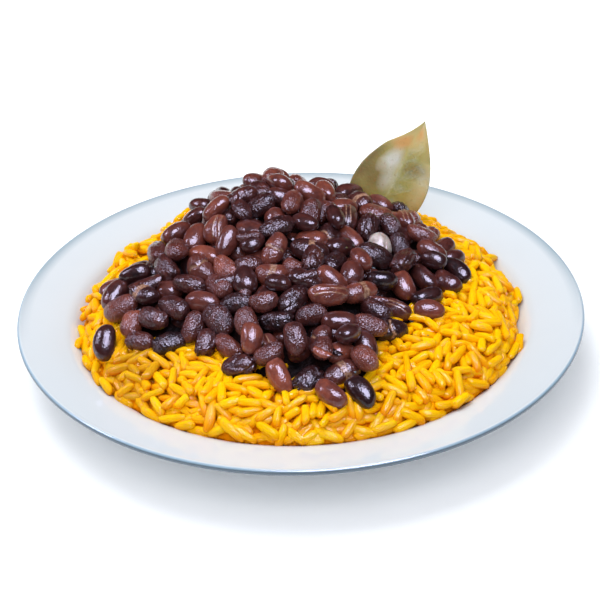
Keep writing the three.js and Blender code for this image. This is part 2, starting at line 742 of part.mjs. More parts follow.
// The beans laid by hand and those of the rest that show most, spread evenly: none nearer than
// a spacing to one already chosen.
function shownBeans() {
  const open = openShares();
  const isLaid = (k) => k >= handLaid.from && k < handLaid.to;
  const order = beans
    .slice(0, heapBeans)
    .map((bean, k) => ({ bean, weight: open[k] + (isLaid(k) ? 1 : 0) }))
    .filter((entry) => entry.weight > beanShownShare)
    .sort((a, b) => b.weight - a.weight);
  const chosen = [];
  for (const { bean, weight } of order) {
    const place = new THREE.Vector3(bean.x, bean.y, bean.z);
    const clear = weight > 1 || chosen.every((other) => place.distanceTo(other) > beanSpacing);
    if (clear && chosen.length < beansShown) chosen.push(bean);
  }
  return chosen;
}

function beansSolid(under, beside) {
  const heap = shownBeans().reduce((whole, bean) => whole.add(beanSolid(bean)), heapCore());
  return largestPiece(heap.subtract(under).subtract(beside));
}

// ---- Group ----
const bareRice = riceCore();
const riceRoom = bareRice.translate([0, 0, clearance]);
const leafSpace = toSolid(leafGeometry(leafThickness + 2 * clearance));

const glaze = new THREE.MeshStandardMaterial({ color: 0xe6ecf4, roughness: 0.18, metalness: 0 });
const riceYellow = new THREE.MeshStandardMaterial({ color: 0xf3b60b, roughness: 0.45, metalness: 0 });
const beanBrown = new THREE.MeshStandardMaterial({ color: 0x46231f, roughness: 0.25, metalness: 0 });
const leafOlive = new THREE.MeshStandardMaterial({ color: 0x8a7f58, roughness: 0.6, metalness: 0 });

const group = new THREE.Group();

function addPiece(name, geometry, material) {
  const mesh = new THREE.Mesh(geometry, material);
  mesh.name = name;
  group.add(mesh);
}

addPiece('plate', plateGeometry(), glaze);
addPiece('rice', toGeometry(riceSolid(bareRice)), riceYellow);
addPiece('beans', toGeometry(beansSolid(riceRoom, leafSpace)), beanBrown);
addPiece('bean_stray', toGeometry(beanSolid(beans[heapBeans]).subtract(riceRoom)), beanBrown);
addPiece('bay_leaf', toGeometry(toSolid(leafGeometry(leafThickness)).subtract(riceRoom)), leafOlive);

export default group;
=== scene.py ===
# %% [markdown]
# # Yellow rice with black beans on a white plate
#
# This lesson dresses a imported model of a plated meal: a white plate, a bed of yellow rice, a heap of
# glossy black beans and a bay leaf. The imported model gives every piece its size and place. Here each
# of its solids is replaced by a finer one of the same form, and all of it gets its finish.
#
# Lengths are written in millimetres, as on a drawing, and MM turns them into Blender's metres.

import bisect
import math
from collections import defaultdict

import bmesh
import bpy
import numpy as np
from mathutils import Matrix, Vector, noise


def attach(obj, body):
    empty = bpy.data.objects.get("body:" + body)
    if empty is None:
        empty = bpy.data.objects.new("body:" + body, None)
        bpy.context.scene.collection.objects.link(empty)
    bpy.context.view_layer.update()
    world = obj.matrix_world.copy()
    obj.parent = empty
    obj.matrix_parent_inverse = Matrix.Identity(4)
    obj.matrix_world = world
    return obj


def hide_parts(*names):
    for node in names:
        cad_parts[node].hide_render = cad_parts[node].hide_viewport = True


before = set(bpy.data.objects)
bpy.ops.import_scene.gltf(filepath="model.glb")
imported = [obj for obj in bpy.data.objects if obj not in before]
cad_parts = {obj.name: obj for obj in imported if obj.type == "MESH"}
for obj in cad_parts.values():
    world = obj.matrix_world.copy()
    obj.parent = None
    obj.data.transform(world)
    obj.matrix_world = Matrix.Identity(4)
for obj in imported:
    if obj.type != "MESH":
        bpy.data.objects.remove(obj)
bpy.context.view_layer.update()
MM = 0.001
DEGREE = math.pi / 180
print("nodes:", sorted(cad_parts))

# %% [markdown]
# ## Camera and light
#
# The camera and the lights come first, because every finish is judged in them. A long lens stands
# half a metre away and looks down at about thirty degrees, as a seated diner does. Two soft panels
# and a pale surround light the plate evenly. On wet food they would mirror as a grey haze, so they
# are hidden from reflections, and two gleams that only reflections show take their place: they
# draw the small sharp highlights on the beans.

# %% Camera
LIP_HEIGHT = 20.8
CAMERA_DISTANCE = 570
CAMERA_ELEVATION = 31.4 * DEGREE
CAMERA_ROLL = -1.7 * DEGREE
FRAME_PIXELS = 600
FOCAL_PIXELS = 1399
AIM_ABOVE_MIDDLE = 1.4  # pixels from the middle of the frame up to the aim
SENSOR_WIDTH = 36
NEAREST_SEEN = 20

aim = Vector((0, 0, LIP_HEIGHT)) * MM
backwards = Vector((0, -math.cos(CAMERA_ELEVATION), math.sin(CAMERA_ELEVATION)))
camera_data = bpy.data.cameras.new("camera")
camera_data.sensor_width = SENSOR_WIDTH
camera_data.lens = FOCAL_PIXELS / FRAME_PIXELS * SENSOR_WIDTH
camera_data.shift_y = -AIM_ABOVE_MIDDLE / FRAME_PIXELS
camera_data.clip_start = NEAREST_SEEN * MM
camera = bpy.data.objects.new("camera", camera_data)
turn = (-backwards).to_track_quat("-Z", "Y").to_matrix().to_4x4()
camera.matrix_world = (
    Matrix.Translation(aim + backwards * CAMERA_DISTANCE * MM)
    @ turn
    @ Matrix.Rotation(CAMERA_ROLL, 4, "Z")
)
bpy.context.scene.collection.objects.link(camera)
bpy.context.scene.camera = camera
print("lens, mm:", round(camera_data.lens, 1))

# %% Lights and surround
PANEL_COOL, PANEL_WARM = (0.92, 0.95, 1.0), (1.0, 0.99, 0.97)
GLEAM_BLUE = (0.74, 0.71, 1.0)
SURROUND_PALE, SURROUND_STRENGTH = (0.94, 0.97, 1.0, 1), 0.8
# name, place, side, power and colour of each lamp, and whether only reflections show it
LAMPS = [
    ("panel_above", (-0.2, 0.36, 0.8), 0.7, 7.0, PANEL_COOL, False),
    ("gleam_front", (0.16, -0.32, 0.84), 0.6, 23.0, GLEAM_BLUE, True),
    ("gleam_left", (-0.72, 0.02, 0.6), 0.26, 4.2, GLEAM_BLUE, True),
    ("panel_front", (-0.25, -0.75, 0.95), 1.0, 4.0, PANEL_WARM, False),
]
for name, place, side, power, colour, gleams in LAMPS:
    data = bpy.data.lights.new(name, "AREA")
    data.shape, data.size, data.energy, data.color = "SQUARE", side, power, colour
    lamp = bpy.data.objects.new(name, data)
    lamp.location = place
    lamp.rotation_euler = (aim - Vector(place)).to_track_quat("-Z", "Y").to_euler()
    lamp.visible_glossy, lamp.visible_diffuse = gleams, not gleams
    bpy.context.scene.collection.objects.link(lamp)

world = bpy.data.worlds.new("surround")
world.use_nodes = True
background = world.node_tree.nodes["Background"].inputs
background["Color"].default_value = SURROUND_PALE
background["Strength"].default_value = SURROUND_STRENGTH
world.cycles_visibility.glossy = False
bpy.context.scene.world = world
bpy.context.scene.view_settings.view_transform = "Standard"
print("lamps:", [lamp[0] for lamp in LAMPS])

# %% [markdown]
# ## Finishes made of nodes
#
# Every material here is a Principled surface with a few pattern nodes before it. These helpers keep
# the node code short. Patterns on joined pieces, such as beans, read an attribute that holds each
# bean's own coordinates, because a pattern in the plate's coordinates would run through all beans
# alike.


# %% Node helpers
def principled(tree):
    return tree.nodes["Principled BSDF"]


def new_finish(name, **sockets):
    """A material whose shader has these plain values, and its node tree."""
    material = bpy.data.materials.new(name)
    material.use_nodes = True
    for socket, value in sockets.items():
        principled(material.node_tree).inputs[socket.replace("_", " ")].default_value = value
    return material, material.node_tree


def add_node(tree, kind, settings=None, **inputs):
    """A node with its settings; an input is a plain value or another node's output."""
    node = tree.nodes.new(kind)
    for key, value in (settings or {}).items():
        setattr(node, key, value)
    for key, value in inputs.items():
        socket = node.inputs[int(key[1:]) if key[1:].isdigit() else key.replace("_", " ")]
        if isinstance(value, bpy.types.NodeSocket):
            tree.links.new(value, socket)
        else:
            socket.default_value = value
    return node


def drive(tree, socket, value):
    """Feeds a socket of the finish's shader from a node."""
    tree.links.new(value, principled(tree).inputs[socket])


def object_coordinates(tree):
    return add_node(tree, "ShaderNodeTexCoord").outputs["Object"]


def attribute(tree, name, output="Fac"):
    return add_node(tree, "ShaderNodeAttribute", {"attribute_name": name}).outputs[output]


# %% Patterns and sums
NOISE_RANGE = (0.3, 0.7)  # nearly all of a noise pattern lies in here
SPECK_RANGE = (0.62, 0.72)  # only its peaks lie above this


def pattern(tree, where, scale, detail=3.0, roughness=0.55):
    """Soft noise between 0 and 1; scale is in patches per unit of the coordinates."""
    inputs = {"Vector": where, "Scale": scale, "Detail": detail, "Roughness": roughness}
    return add_node(tree, "ShaderNodeTexNoise", **inputs).outputs["Fac"]


def between(tree, value, low, high, out_low=0.0, out_high=1.0):
    """Maps a value from one range to another and holds it there."""
    inputs = {"Value": value, "From_Min": low, "From_Max": high, "To_Min": out_low, "To_Max": out_high}
    return add_node(tree, "ShaderNodeMapRange", **inputs).outputs["Result"]


def varied(tree, where, scale, low, high, *detail):
    """A value that drifts between two others."""
    return between(tree, pattern(tree, where, scale, *detail), *NOISE_RANGE, low, high)


def specks(tree, where, scale, strength):
    return between(tree, pattern(tree, where, scale, 2), *SPECK_RANGE, 0, strength)


def calculate(tree, operation, first, second):
    return add_node(tree, "ShaderNodeMath", {"operation": operation}, i0=first, i1=second).outputs[0]


def vectors(tree, operation, first, second=(0, 0, 0)):
    """A sum with vectors; it gives a vector, or a length."""
    node = add_node(tree, "ShaderNodeVectorMath", {"operation": operation}, i0=first, i1=second)
    return node.outputs["Value" if operation == "LENGTH" else "Vector"]


# %% Colours and relief
def linear(red, green, blue):
    """The shader's linear colour of a screen colour given from 0 to 255."""
    return tuple(((value / 255 + 0.055) / 1.055) ** 2.4 for value in (red, green, blue))


def dimmed(colour, share):
    return tuple(share * value for value in colour)


def ramp(tree, value, *stops):
    """Colours along a value, given as (position, (red, green, blue))."""
    node = add_node(tree, "ShaderNodeValToRGB", Fac=value)
    elements = node.color_ramp.elements
    while len(elements) < len(stops):
        elements.new(0.5)
    for element, (position, colour) in zip(elements, stops):
        element.position = position
        element.color = (*colour, 1)
    return node.outputs["Color"]


def blend(tree, share, first, second):
    """Mixes two colours by a share."""
    first, second = ((*colour, 1) if isinstance(colour, tuple) else colour for colour in (first, second))
    return add_node(tree, "ShaderNodeMix", {"data_type": "RGBA"}, i0=share, i6=first, i7=second).outputs[2]


def relief(tree, height, depth, strength=1.0, coated=False):
    """Bump of that depth in metres on a finish, and on its coat where that is thin."""
    bump = add_node(tree, "ShaderNodeBump", Height=height, Distance=depth, Strength=strength)
    for socket in ("Normal", "Coat Normal") if coated else ("Normal",):
        drive(tree, socket, bump.outputs["Normal"])


# %% [markdown]
# ## Pieces
#
# Each finished mesh becomes one object at the origin, with its place in its mesh. It rides on the
# model's only body, takes a finish, and stands for a imported solid where it replaces one.


# %% Piece helpers
def to_mesh(bm, name):
    """Finishes a bmesh drawn in millimetres."""
    bmesh.ops.transform(bm, matrix=Matrix.Scale(MM, 4), verts=bm.verts)
    mesh = bpy.data.meshes.new(name)
    bm.to_mesh(mesh)
    bm.free()
    return mesh


def add_piece(name, shape, material, slot, *stands_for):
    """Shows a mesh, or a bmesh drawn in millimetres, as a piece of the meal."""
    mesh = to_mesh(shape, name) if isinstance(shape, bmesh.types.BMesh) else shape
    piece = bpy.data.objects.new(name, mesh)
    bpy.context.scene.collection.objects.link(piece)
    mesh.materials.append(material)
    for face in mesh.polygons:
        face.use_smooth = True
    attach(piece, "root")
    if stands_for:
        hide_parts(*stands_for)
    print(f"{name}: {sum(len(face.vertices) - 2 for face in mesh.polygons)} triangles")


def spun(profile, steps):
    """A bmesh turned about the upright axis from an outline of (radius, height)."""
    bm = bmesh.new()
    outline = [bm.verts.new((radius, 0, height)) for radius, height in profile]
    edges = [bm.edges.new(pair) for pair in zip(outline, outline[1:])]
    turn = {"cent": (0, 0, 0), "axis": (0, 0, 1), "angle": 2 * math.pi, "steps": steps}
    bmesh.ops.spin(bm, geom=outline + edges, use_merge=True, **turn)
    bmesh.ops.remove_doubles(bm, verts=bm.verts, dist=1e-4)
    bmesh.ops.recalc_face_normals(bm, faces=bm.faces)
    return bm


# %% [markdown]
# ## The plate
#
# A plate like this is pressed or jiggered: clay is shaped against a turning mould, so every section
# through the middle is the same. That makes `spin` the natural operator. The outline is drawn once,
# from the middle of the well up its wall, over the sloping rim, round the rolled lip and back under
# to the foot ring. Only the bends need many points.

# %% The well
WELL_RADIUS = 93
WELL_EDGE_HEIGHT = 16.8
WELL_EDGE_WIDTH = 3
FLOOR_RADIUS = 76
FLOOR_HEIGHT = 6.4
FLOOR_BEND = 8


def bent(start, control, end, steps):
    """Points along a curve that leaves start and meets end in the direction of control."""
    points = []
    for i in range(steps + 1):
        t = i / steps
        weights = ((1 - t) ** 2, 2 * t * (1 - t), t**2)
        points.append(tuple(sum(w * p[k] for w, p in zip(weights, (start, control, end))) for k in (0, 1)))
    return points


def floor_bend(steps):
    """The bend from the flat floor of the well into its wall."""
    return bent(
        (FLOOR_RADIUS - FLOOR_BEND, FLOOR_HEIGHT),
        (FLOOR_RADIUS + FLOOR_BEND * 0.75, FLOOR_HEIGHT),
        (WELL_RADIUS - WELL_EDGE_WIDTH, WELL_EDGE_HEIGHT - WELL_EDGE_WIDTH * 0.85),
        steps,
    )


RIM_START = (WELL_RADIUS + WELL_EDGE_WIDTH, WELL_EDGE_HEIGHT + WELL_EDGE_WIDTH / 3)
WELL_FACE = [(0, FLOOR_HEIGHT), *floor_bend(3), (WELL_RADIUS, WELL_EDGE_HEIGHT), RIM_START]


def plate_height(radius):
    """Height of the glaze in the well, up to its edge."""
    for (inner, low), (outer, high) in zip(WELL_FACE, WELL_FACE[1:]):
        if radius <= outer:
            return low + (high - low) * ((radius - inner) / (outer - inner))
    return WELL_EDGE_HEIGHT


# %% Plate
PLATE_RADIUS = 114
LIP_RADIUS = 1.2
WALL = 3.2
FOOT_RADIUS = 66
FOOT_WIDTH = 6
FOOT_HEIGHT = 3
FOOT_DRAFT = 1.5
PLATE_STEPS = 192
lip_middle = PLATE_RADIUS - LIP_RADIUS
lip = [
    (lip_middle + LIP_RADIUS * math.cos(angle * DEGREE), LIP_HEIGHT + LIP_RADIUS * math.sin(angle * DEGREE))
    for angle in range(120, -61, -15)
]
upper = [(0, FLOOR_HEIGHT), (30, FLOOR_HEIGHT), (55, FLOOR_HEIGHT), *floor_bend(14)]
upper += bent(upper[-1], (WELL_RADIUS - 0.6, WELL_EDGE_HEIGHT + 0.2), RIM_START, 6)[1:]
upper += [tuple(a + share * (b - a) for a, b in zip(RIM_START, lip[0])) for share in (0.25, 0.5, 0.75, 0.93)]
well_under = WELL_EDGE_HEIGHT - WALL
foot_inner = FOOT_RADIUS - FOOT_WIDTH
under_side = [
    (WELL_RADIUS + 8, well_under + 2.4),
    *bent((WELL_RADIUS + 2, well_under + 0.4), (WELL_RADIUS - 1, well_under - 0.6),
          (WELL_RADIUS - 4, well_under - 3.3), 4),
    (FLOOR_RADIUS + FLOOR_BEND / 2, (FLOOR_HEIGHT + FOOT_HEIGHT) / 2),
    (FOOT_RADIUS + FOOT_DRAFT + 3, FOOT_HEIGHT + 0.4),
    (FOOT_RADIUS + FOOT_DRAFT, FOOT_HEIGHT - 0.3),
    (FOOT_RADIUS + 0.4, 0.5),
    (FOOT_RADIUS - 0.3, 0),
    (foot_inner + 0.3, 0),
    (foot_inner - 0.4, 0.5),
    (foot_inner - FOOT_DRAFT, FOOT_HEIGHT - 0.4),
    (foot_inner - FOOT_DRAFT - 1.5, FOOT_HEIGHT),
    (foot_inner / 2, FOOT_HEIGHT),
    (0, FOOT_HEIGHT),
]
plate_bm = spun([*upper, *lip, *under_side], PLATE_STEPS)
print("points in the plate's outline:", len(upper) + len(lip) + len(under_side))

# %% [markdown]
# Glazed porcelain is a white body under a clear, glassy coat: a diffuse cool white with a smooth
# sharp reflection. Shade is painted into its colour in bands round the edge: on the near side a
# grey-blue painted shade over the rolled lip, all round a fine dark line of painted shadow under the
# lip, and on the far side a painted shade that greys the rim softly towards its edge. Distance from
# the axis, and how far back a point lies, find these bands.

# %% Glaze
GLAZE_WHITE = linear(204, 209, 214)
GLAZE_DIM = 0.97
# painted shade and shadow: the lip's shaded grey-blue, the dark line under the lip, and the far rim's greying
GLAZE_LIP_SHADE = linear(150, 174, 194)
GLAZE_LINE_SHADOW = linear(84, 98, 110)
GLAZE_FAR_SHADE = linear(140, 158, 170)
# Bands round the edge: how far in from it each one starts, and where it is full.
LIP_SHADE_BAND = (1.1, 0.6)
LINE_SHADOW_BAND = (0.45, 0.1)
FAR_SHADE_BAND = (5.5, 0.4)
FAR_FADE = 30  # the far side begins over this distance on both sides of the axis
glaze, tree = new_finish("glazed_white", Roughness=0.12, Coat_Weight=0.4, Coat_Roughness=0.05)
where = object_coordinates(tree)
from_axis = vectors(tree, "LENGTH", vectors(tree, "MULTIPLY", where, (1, 1, 0)))


def in_band(start, full):
    return between(tree, from_axis, (PLATE_RADIUS - start) * MM, (PLATE_RADIUS - full) * MM)


back = add_node(tree, "ShaderNodeSeparateXYZ", i0=where).outputs["Y"]
far = between(tree, back, -FAR_FADE * MM, FAR_FADE * MM)
near = calculate(tree, "SUBTRACT", 1.0, far)
white = blend(tree, pattern(tree, where, 45), GLAZE_WHITE, dimmed(GLAZE_WHITE, GLAZE_DIM))
white = blend(tree, calculate(tree, "MULTIPLY", far, in_band(*FAR_SHADE_BAND)), white, GLAZE_FAR_SHADE)
white = blend(tree, calculate(tree, "MULTIPLY", in_band(*LIP_SHADE_BAND), near), white, GLAZE_LIP_SHADE)
drive(tree, "Base Color", blend(tree, in_band(*LINE_SHADOW_BAND), white, GLAZE_LINE_SHADOW))
drive(tree, "Roughness", varied(tree, where, 160, 0.09, 0.16))
relief(tree, pattern(tree, where, 30, 1), 0.00015)
add_piece("plate_glazed", plate_bm, glaze, "plate", "plate")

# %% [markdown]
# ## How high the food lies
#
# The rice is a low dome that falls to a rounded edge against the wall of the well. The beans make a
# steeper heap with its own outline. Both are given by formulas from a few sizes, the same ones that
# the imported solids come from, so that whatever is built here keeps their form.

# %% Rice dome
RICE_CROWN = LIP_HEIGHT + 8
RICE_SHOULDER = LIP_HEIGHT + 3.6
RICE_SHOULDER_RADIUS = 80
RICE_EDGE_FALL = 15
RICE_EDGE_ROUNDNESS = 2.2
RICE_EDGE_SINK = 0.5
# Reach of the bed against the plate's wall, as (direction in degrees, radius).
RICE_REACH = [
    (5, 90), (14, 86), (24, 90), (34, 88), (48, 90), (70, 86), (95, 88), (121, 89), (133, 85),
    (143, 81), (157, 86), (165, 81), (178, 87), (195, 90), (215, 91.5), (270, 91.8), (318, 91.5),
    (338, 90.5), (350, 87.5),
]


def held(value):
    return min(max(value, 0), 1)


def around_value(pairs, angle):
    """Value between the two neighbours of an angle in a list of (degrees, value)."""
    turned = (angle / DEGREE % 360 + 360) % 360
    after = bisect.bisect_right(pairs, (turned, math.inf))
    start, low = pairs[after - 1]
    end, high = pairs[after % len(pairs)]
    return low + (high - low) * (((turned - start) % 360) / ((end - start) % 360))


def rice_top(x, y):
    """Height of the bed's surface, without its grains."""
    radius = math.hypot(x, y)
    edge = around_value(RICE_REACH, math.atan2(y, x))
    dome = RICE_CROWN - (RICE_CROWN - RICE_SHOULDER) * (radius / RICE_SHOULDER_RADIUS) ** 2
    fall = held((radius - edge + RICE_EDGE_FALL) / RICE_EDGE_FALL)
    foot = plate_height(edge) - RICE_EDGE_SINK
    return foot + (dome - foot) * (1 - fall**RICE_EDGE_ROUNDNESS)


# %% Bean heap
HEAP_SUMMIT = (-10, 32)
HEAP_HEIGHT = LIP_HEIGHT + 39
HEAP_EDGE_HEIGHT = LIP_HEIGHT + 13
HEAP_ROUNDNESS = 1.5
HEAP_RIGHT_FALL = 0.35
HEAP_OUTLINE = [
    (71, 8), (68, 26), (60, 34), (50, 48), (38, 60), (14, 71), (-14, 72), (-36, 63), (-50, 50),
    (-56, 36), (-58, 20), (-66, 10), (-79, -2), (-81, -20), (-68, -40), (-54, -47), (-42, -47),
    (-29, -54), (-24, -65), (-6, -73), (13, -80), (26, -78), (29, -58), (40, -41), (53, -26), (62, -8),
]
HEAP_REACH = sorted(
    (
        (math.atan2(y - HEAP_SUMMIT[1], x - HEAP_SUMMIT[0]) / DEGREE + 360) % 360,
        math.hypot(x - HEAP_SUMMIT[0], y - HEAP_SUMMIT[1]),
    )
    for x, y in HEAP_OUTLINE
)


def heap_share(x, y):
    """0 at the heap's summit and 1 on its outline."""
    dx, dy = x - HEAP_SUMMIT[0], y - HEAP_SUMMIT[1]
    return math.hypot(dx, dy) / around_value(HEAP_REACH, math.atan2(dy, dx))


def heap_inset(x, y):
    """Distance in from the outline, along the line to the summit."""
    distance = math.hypot(x - HEAP_SUMMIT[0], y - HEAP_SUMMIT[1])
    return distance / max(heap_share(x, y), 1e-6) - distance


def heap_top(x, y):
    share = min(heap_share(x, y), 1)
    rightward = max(math.cos(math.atan2(y - HEAP_SUMMIT[1], x - HEAP_SUMMIT[0])), 0)
    roundness = HEAP_ROUNDNESS - HEAP_RIGHT_FALL * rightward
    return HEAP_EDGE_HEIGHT + (HEAP_HEIGHT - HEAP_EDGE_HEIGHT) * (1 - share**roundness)


print("rice crown, mm:", round(rice_top(0, 0), 1), "heap summit, mm:", round(heap_top(*HEAP_SUMMIT), 1))

# %% [markdown]
# ## The leaf's surface
#
# A dried bay leaf stands in the rice behind the beans. Its surface is needed before the food is
# laid, because nothing may come to rest across it. A point of it is given by how far it lies across
# from the midrib (-1 to 1) and up the length (0 to 1).

# %% Leaf surface
LEAF_FULL_LENGTH = 68
LEAF_LENGTH = 56
LEAF_WIDTH = 35
LEAF_FOOT = (33, 57, LIP_HEIGHT - 1)
LEAF_SIDE_LEAN = 23.4 * DEGREE
LEAF_BACK_LEAN = 2 * DEGREE
LEAF_FOLD = 3.2
LEAF_FOLD_POWER = 1.6
LEAF_WAVE = 0.9
LEAF_WAVES = 1.2
LEAF_WAVE_START = 0.6
LEAF_FULLNESS = 0.85
LEAF_TIP_HALF_WIDTH = 0.4
LEAF_BEND = 1.8


def leaf_half_width(rise):
    from_tip = LEAF_LENGTH * (1 - rise)
    roundness = max(math.sin(math.pi * from_tip / LEAF_FULL_LENGTH), 0) ** LEAF_FULLNESS
    return max(LEAF_WIDTH / 2 * roundness, LEAF_TIP_HALF_WIDTH)


def leaf_point(side, rise, offset=0.0):
    """A point of the leaf, moved back by an offset across its thickness."""
    across = side * leaf_half_width(rise) - LEAF_BEND * math.sin(math.pi * rise)
    wave = LEAF_WAVE * side * math.sin(2 * math.pi * LEAF_WAVES * rise + LEAF_WAVE_START)
    back = LEAF_FOLD * abs(side) ** LEAF_FOLD_POWER + wave + offset
    up = rise * LEAF_LENGTH
    x = across * math.cos(LEAF_SIDE_LEAN) + up * math.sin(LEAF_SIDE_LEAN)
    z = up * math.cos(LEAF_SIDE_LEAN) - across * math.sin(LEAF_SIDE_LEAN)
    y = back * math.cos(LEAF_BACK_LEAN) + z * math.sin(LEAF_BACK_LEAN)
    z = z * math.cos(LEAF_BACK_LEAN) - back * math.sin(LEAF_BACK_LEAN)
    return (LEAF_FOOT[0] + x, LEAF_FOOT[1] + y, LEAF_FOOT[2] + z)


# %% [markdown]
# ## Letting food fall into place
#
# Beans and grains of rice look right only if they lie on each other. A rigid-body simulation of
# some seventeen hundred pieces would be slow, so a simpler rule does it: a map holds the height of
# what lies on each cell of a grid, and each new piece is let down until it touches. A piece counts
# as an ellipsoid, whose upper and under side over a cell come from a quadratic equation. Lots are
# drawn from a seed, so that the meal comes out the same on every run.


# %% Draws
class Draws:
    """Draws that come out the same on every run."""

    FACTOR, STEP, RANGE = 1664525, 1013904223, 2**32

    def __init__(self, seed):
        self.state = seed

    def share(self):
        self.state = (self.state * self.FACTOR + self.STEP) % self.RANGE
        return self.state / self.RANGE

    def either(self, reach):
        return reach * (2 * self.share() - 1)

    def around(self, middle, share):
        return middle * (1 + self.either(share))

    def above(self, least, spread):
        return least + spread * self.share()


# %% A piece on its way down
def cross(a, b):
    return (a[1] * b[2] - a[2] * b[1], a[2] * b[0] - a[0] * b[2], a[0] * b[1] - a[1] * b[0])


def dot(a, b):
    return a[0] * b[0] + a[1] * b[1] + a[2] * b[2]


def unit(v):
    length = math.sqrt(dot(v, v))
    return (v[0] / length, v[1] / length, v[2] / length)


def turned_about(v, axis, angle):
    """v, at right angles to an axis, turned about it."""
    c, s = math.cos(angle), math.sin(angle)
    side = cross(axis, v)
    return (v[0] * c + side[0] * s, v[1] * c + side[1] * s, v[2] * c + side[2] * s)


class Morsel:
    """A bean or a grain: its middle, its three axes as rows, and its half sizes along them."""

    def __init__(self, x, y, slope, turn, rise, roll, sizes, hard):
        up = unit((-slope[0], -slope[1], 1))
        along = (math.cos(turn), math.sin(turn), 0)
        lean = dot(along, up)
        along = unit(tuple(a - u * lean for a, u in zip(along, up)))
        across = cross(up, along)
        along, up = turned_about(along, across, -rise), turned_about(up, across, -rise)
        up, across = turned_about(up, along, roll), turned_about(across, along, roll)
        self.x, self.y, self.z, self.rise = x, y, 0.0, rise
        self.axes = np.array((along, across, up))
        self.half = np.array(sizes) / 2
        form = (self.axes.T / (self.half * hard) ** 2) @ self.axes
        self.form = (form[0, 0], form[0, 1], form[0, 2], form[1, 1], form[1, 2], form[2, 2])


def slope_of(top, x, y, reach, follow):
    """Slope of a surface along x and y about a spot, times the share of it that a piece follows."""
    return (
        (top(x + reach, y) - top(x - reach, y)) / (2 * reach) * follow,
        (top(x, y + reach) - top(x, y - reach)) / (2 * reach) * follow,
    )


# %% The map of heights
SPOT_DRAWS = 8


class Bed:
    """Heights over a square grid, and the number of the piece that is on top in each cell."""

    def __init__(self, reach, cell, height):
        self.reach, self.cell = reach, cell
        places = [i * cell - reach for i in range(2 * round(reach / cell) + 1)]
        self.ground = np.array([[height(x, y) for x in places] for y in places])
        self.owner = np.full(self.ground.shape, -1)
        self.laid = []

    def at(self, x, y):
        """Row and column of the cell of a spot."""
        return tuple(math.floor((value + self.reach) / self.cell + 0.5) for value in (y, x))

    def lines(self, middle, wide):
        """Numbers of the grid's lines that lie within a half width of a middle."""
        first = math.ceil((middle - wide + self.reach) / self.cell)
        return np.arange(first, math.floor((middle + wide + self.reach) / self.cell) + 1)

    def under(self, piece):
        """Rows, columns, and heights of a piece's under and upper side there from its middle."""
        xx, xy, xz, yy, yz, zz = piece.form
        columns, rows = (self.lines(middle, piece.half[0]) for middle in (piece.x, piece.y))
        dx = (columns * self.cell - self.reach - piece.x)[None, :]
        dy = (rows * self.cell - self.reach - piece.y)[:, None]
        b = xz * dx + yz * dy
        inside = b * b - zz * (xx * dx * dx + 2 * xy * dx * dy + yy * dy * dy - 1)
        row, column = np.nonzero(inside > 0)
        root, middle = np.sqrt(inside[row, column]), -b[row, column]
        return rows[row], columns[column], (middle - root) / zz, (middle + root) / zz

    def settle(self, piece, keep_off=(0, 0)):
        """Lets a piece down until it rests, and notes how much of the pieces to keep off it covers."""
        rows, columns, bottom, _ = self.under(piece)
        piece.z = float(np.max(self.ground[rows, columns] - bottom))
        owners = self.owner[rows, columns]
        piece.covers = float(np.mean((owners >= keep_off[0]) & (owners < keep_off[1])))
        return piece

    def lay(self, piece):
        rows, columns, _, top = self.under(piece)
        higher = piece.z + top > self.ground[rows, columns]
        rows, columns = rows[higher], columns[higher]
        self.ground[rows, columns] = piece.z + top[higher]
        self.owner[rows, columns] = len(self.laid)
        self.laid.append(piece)

    def open_share(self, number):
        """Share of a piece's footprint that nothing lies on."""
        rows, columns, _, _ = self.under(self.laid[number])
        return float(np.mean(self.owner[rows, columns] == number))

    def emptiest(self, draw_place, top):
        """The place furthest below a surface, of a few drawn; a draw of None finds no place."""
        places = [place for place in (draw_place() for _ in range(SPOT_DRAWS)) if place]
        return max(places, key=lambda place: top(*place) - self.ground[self.at(*place)], default=None)

    def fill(self, draw_place, top, ways_to_lie, fits, misses):
        """Lays pieces up to a surface, each the lowest way that fits, until spots keep missing."""
        missed = 0
        while missed < misses:
            spot = self.emptiest(draw_place, top)
            if not spot:
                continue
            fitting = [piece for piece in ways_to_lie(*spot) if fits(piece)]
            missed = 0 if fitting else missed + 1
            if fitting:
                self.lay(min(fitting, key=lambda piece: piece.z))


# %% Room for the leaf
LEAF_ROOM = 0.7
LEAF_ROOM_STEPS = (0.02, 0.05)


def block_leaf(bed, height):
    """Nothing comes to rest across the standing leaf."""
    rise_step, side_step = LEAF_ROOM_STEPS
    rise = 0.0
    while rise < LEAF_ROOM:
        side = -1.0
        while side <= 1:
            x, y, _ = leaf_point(side, rise)
            bed.ground[bed.at(x, y)] = height
            side += side_step
        rise += rise_step


# %% [markdown]
# ## Laying the beans
#
# The heap is filled from below: first a row along its edge, then a bed well under its surface, then
# the beans that lie where they catch the eye, each one given in a list, and last the beans between
# them. Each row of the list below is one such bean, with its place and direction, its size, its
# kind of skin and its tone from 0, almost black, to 1, light reddish brown.

# %% Beans laid one by one
BEAN_LENGTH = 14.4
BEAN_WIDTH = 9.8
BEAN_THICKNESS = 8.2
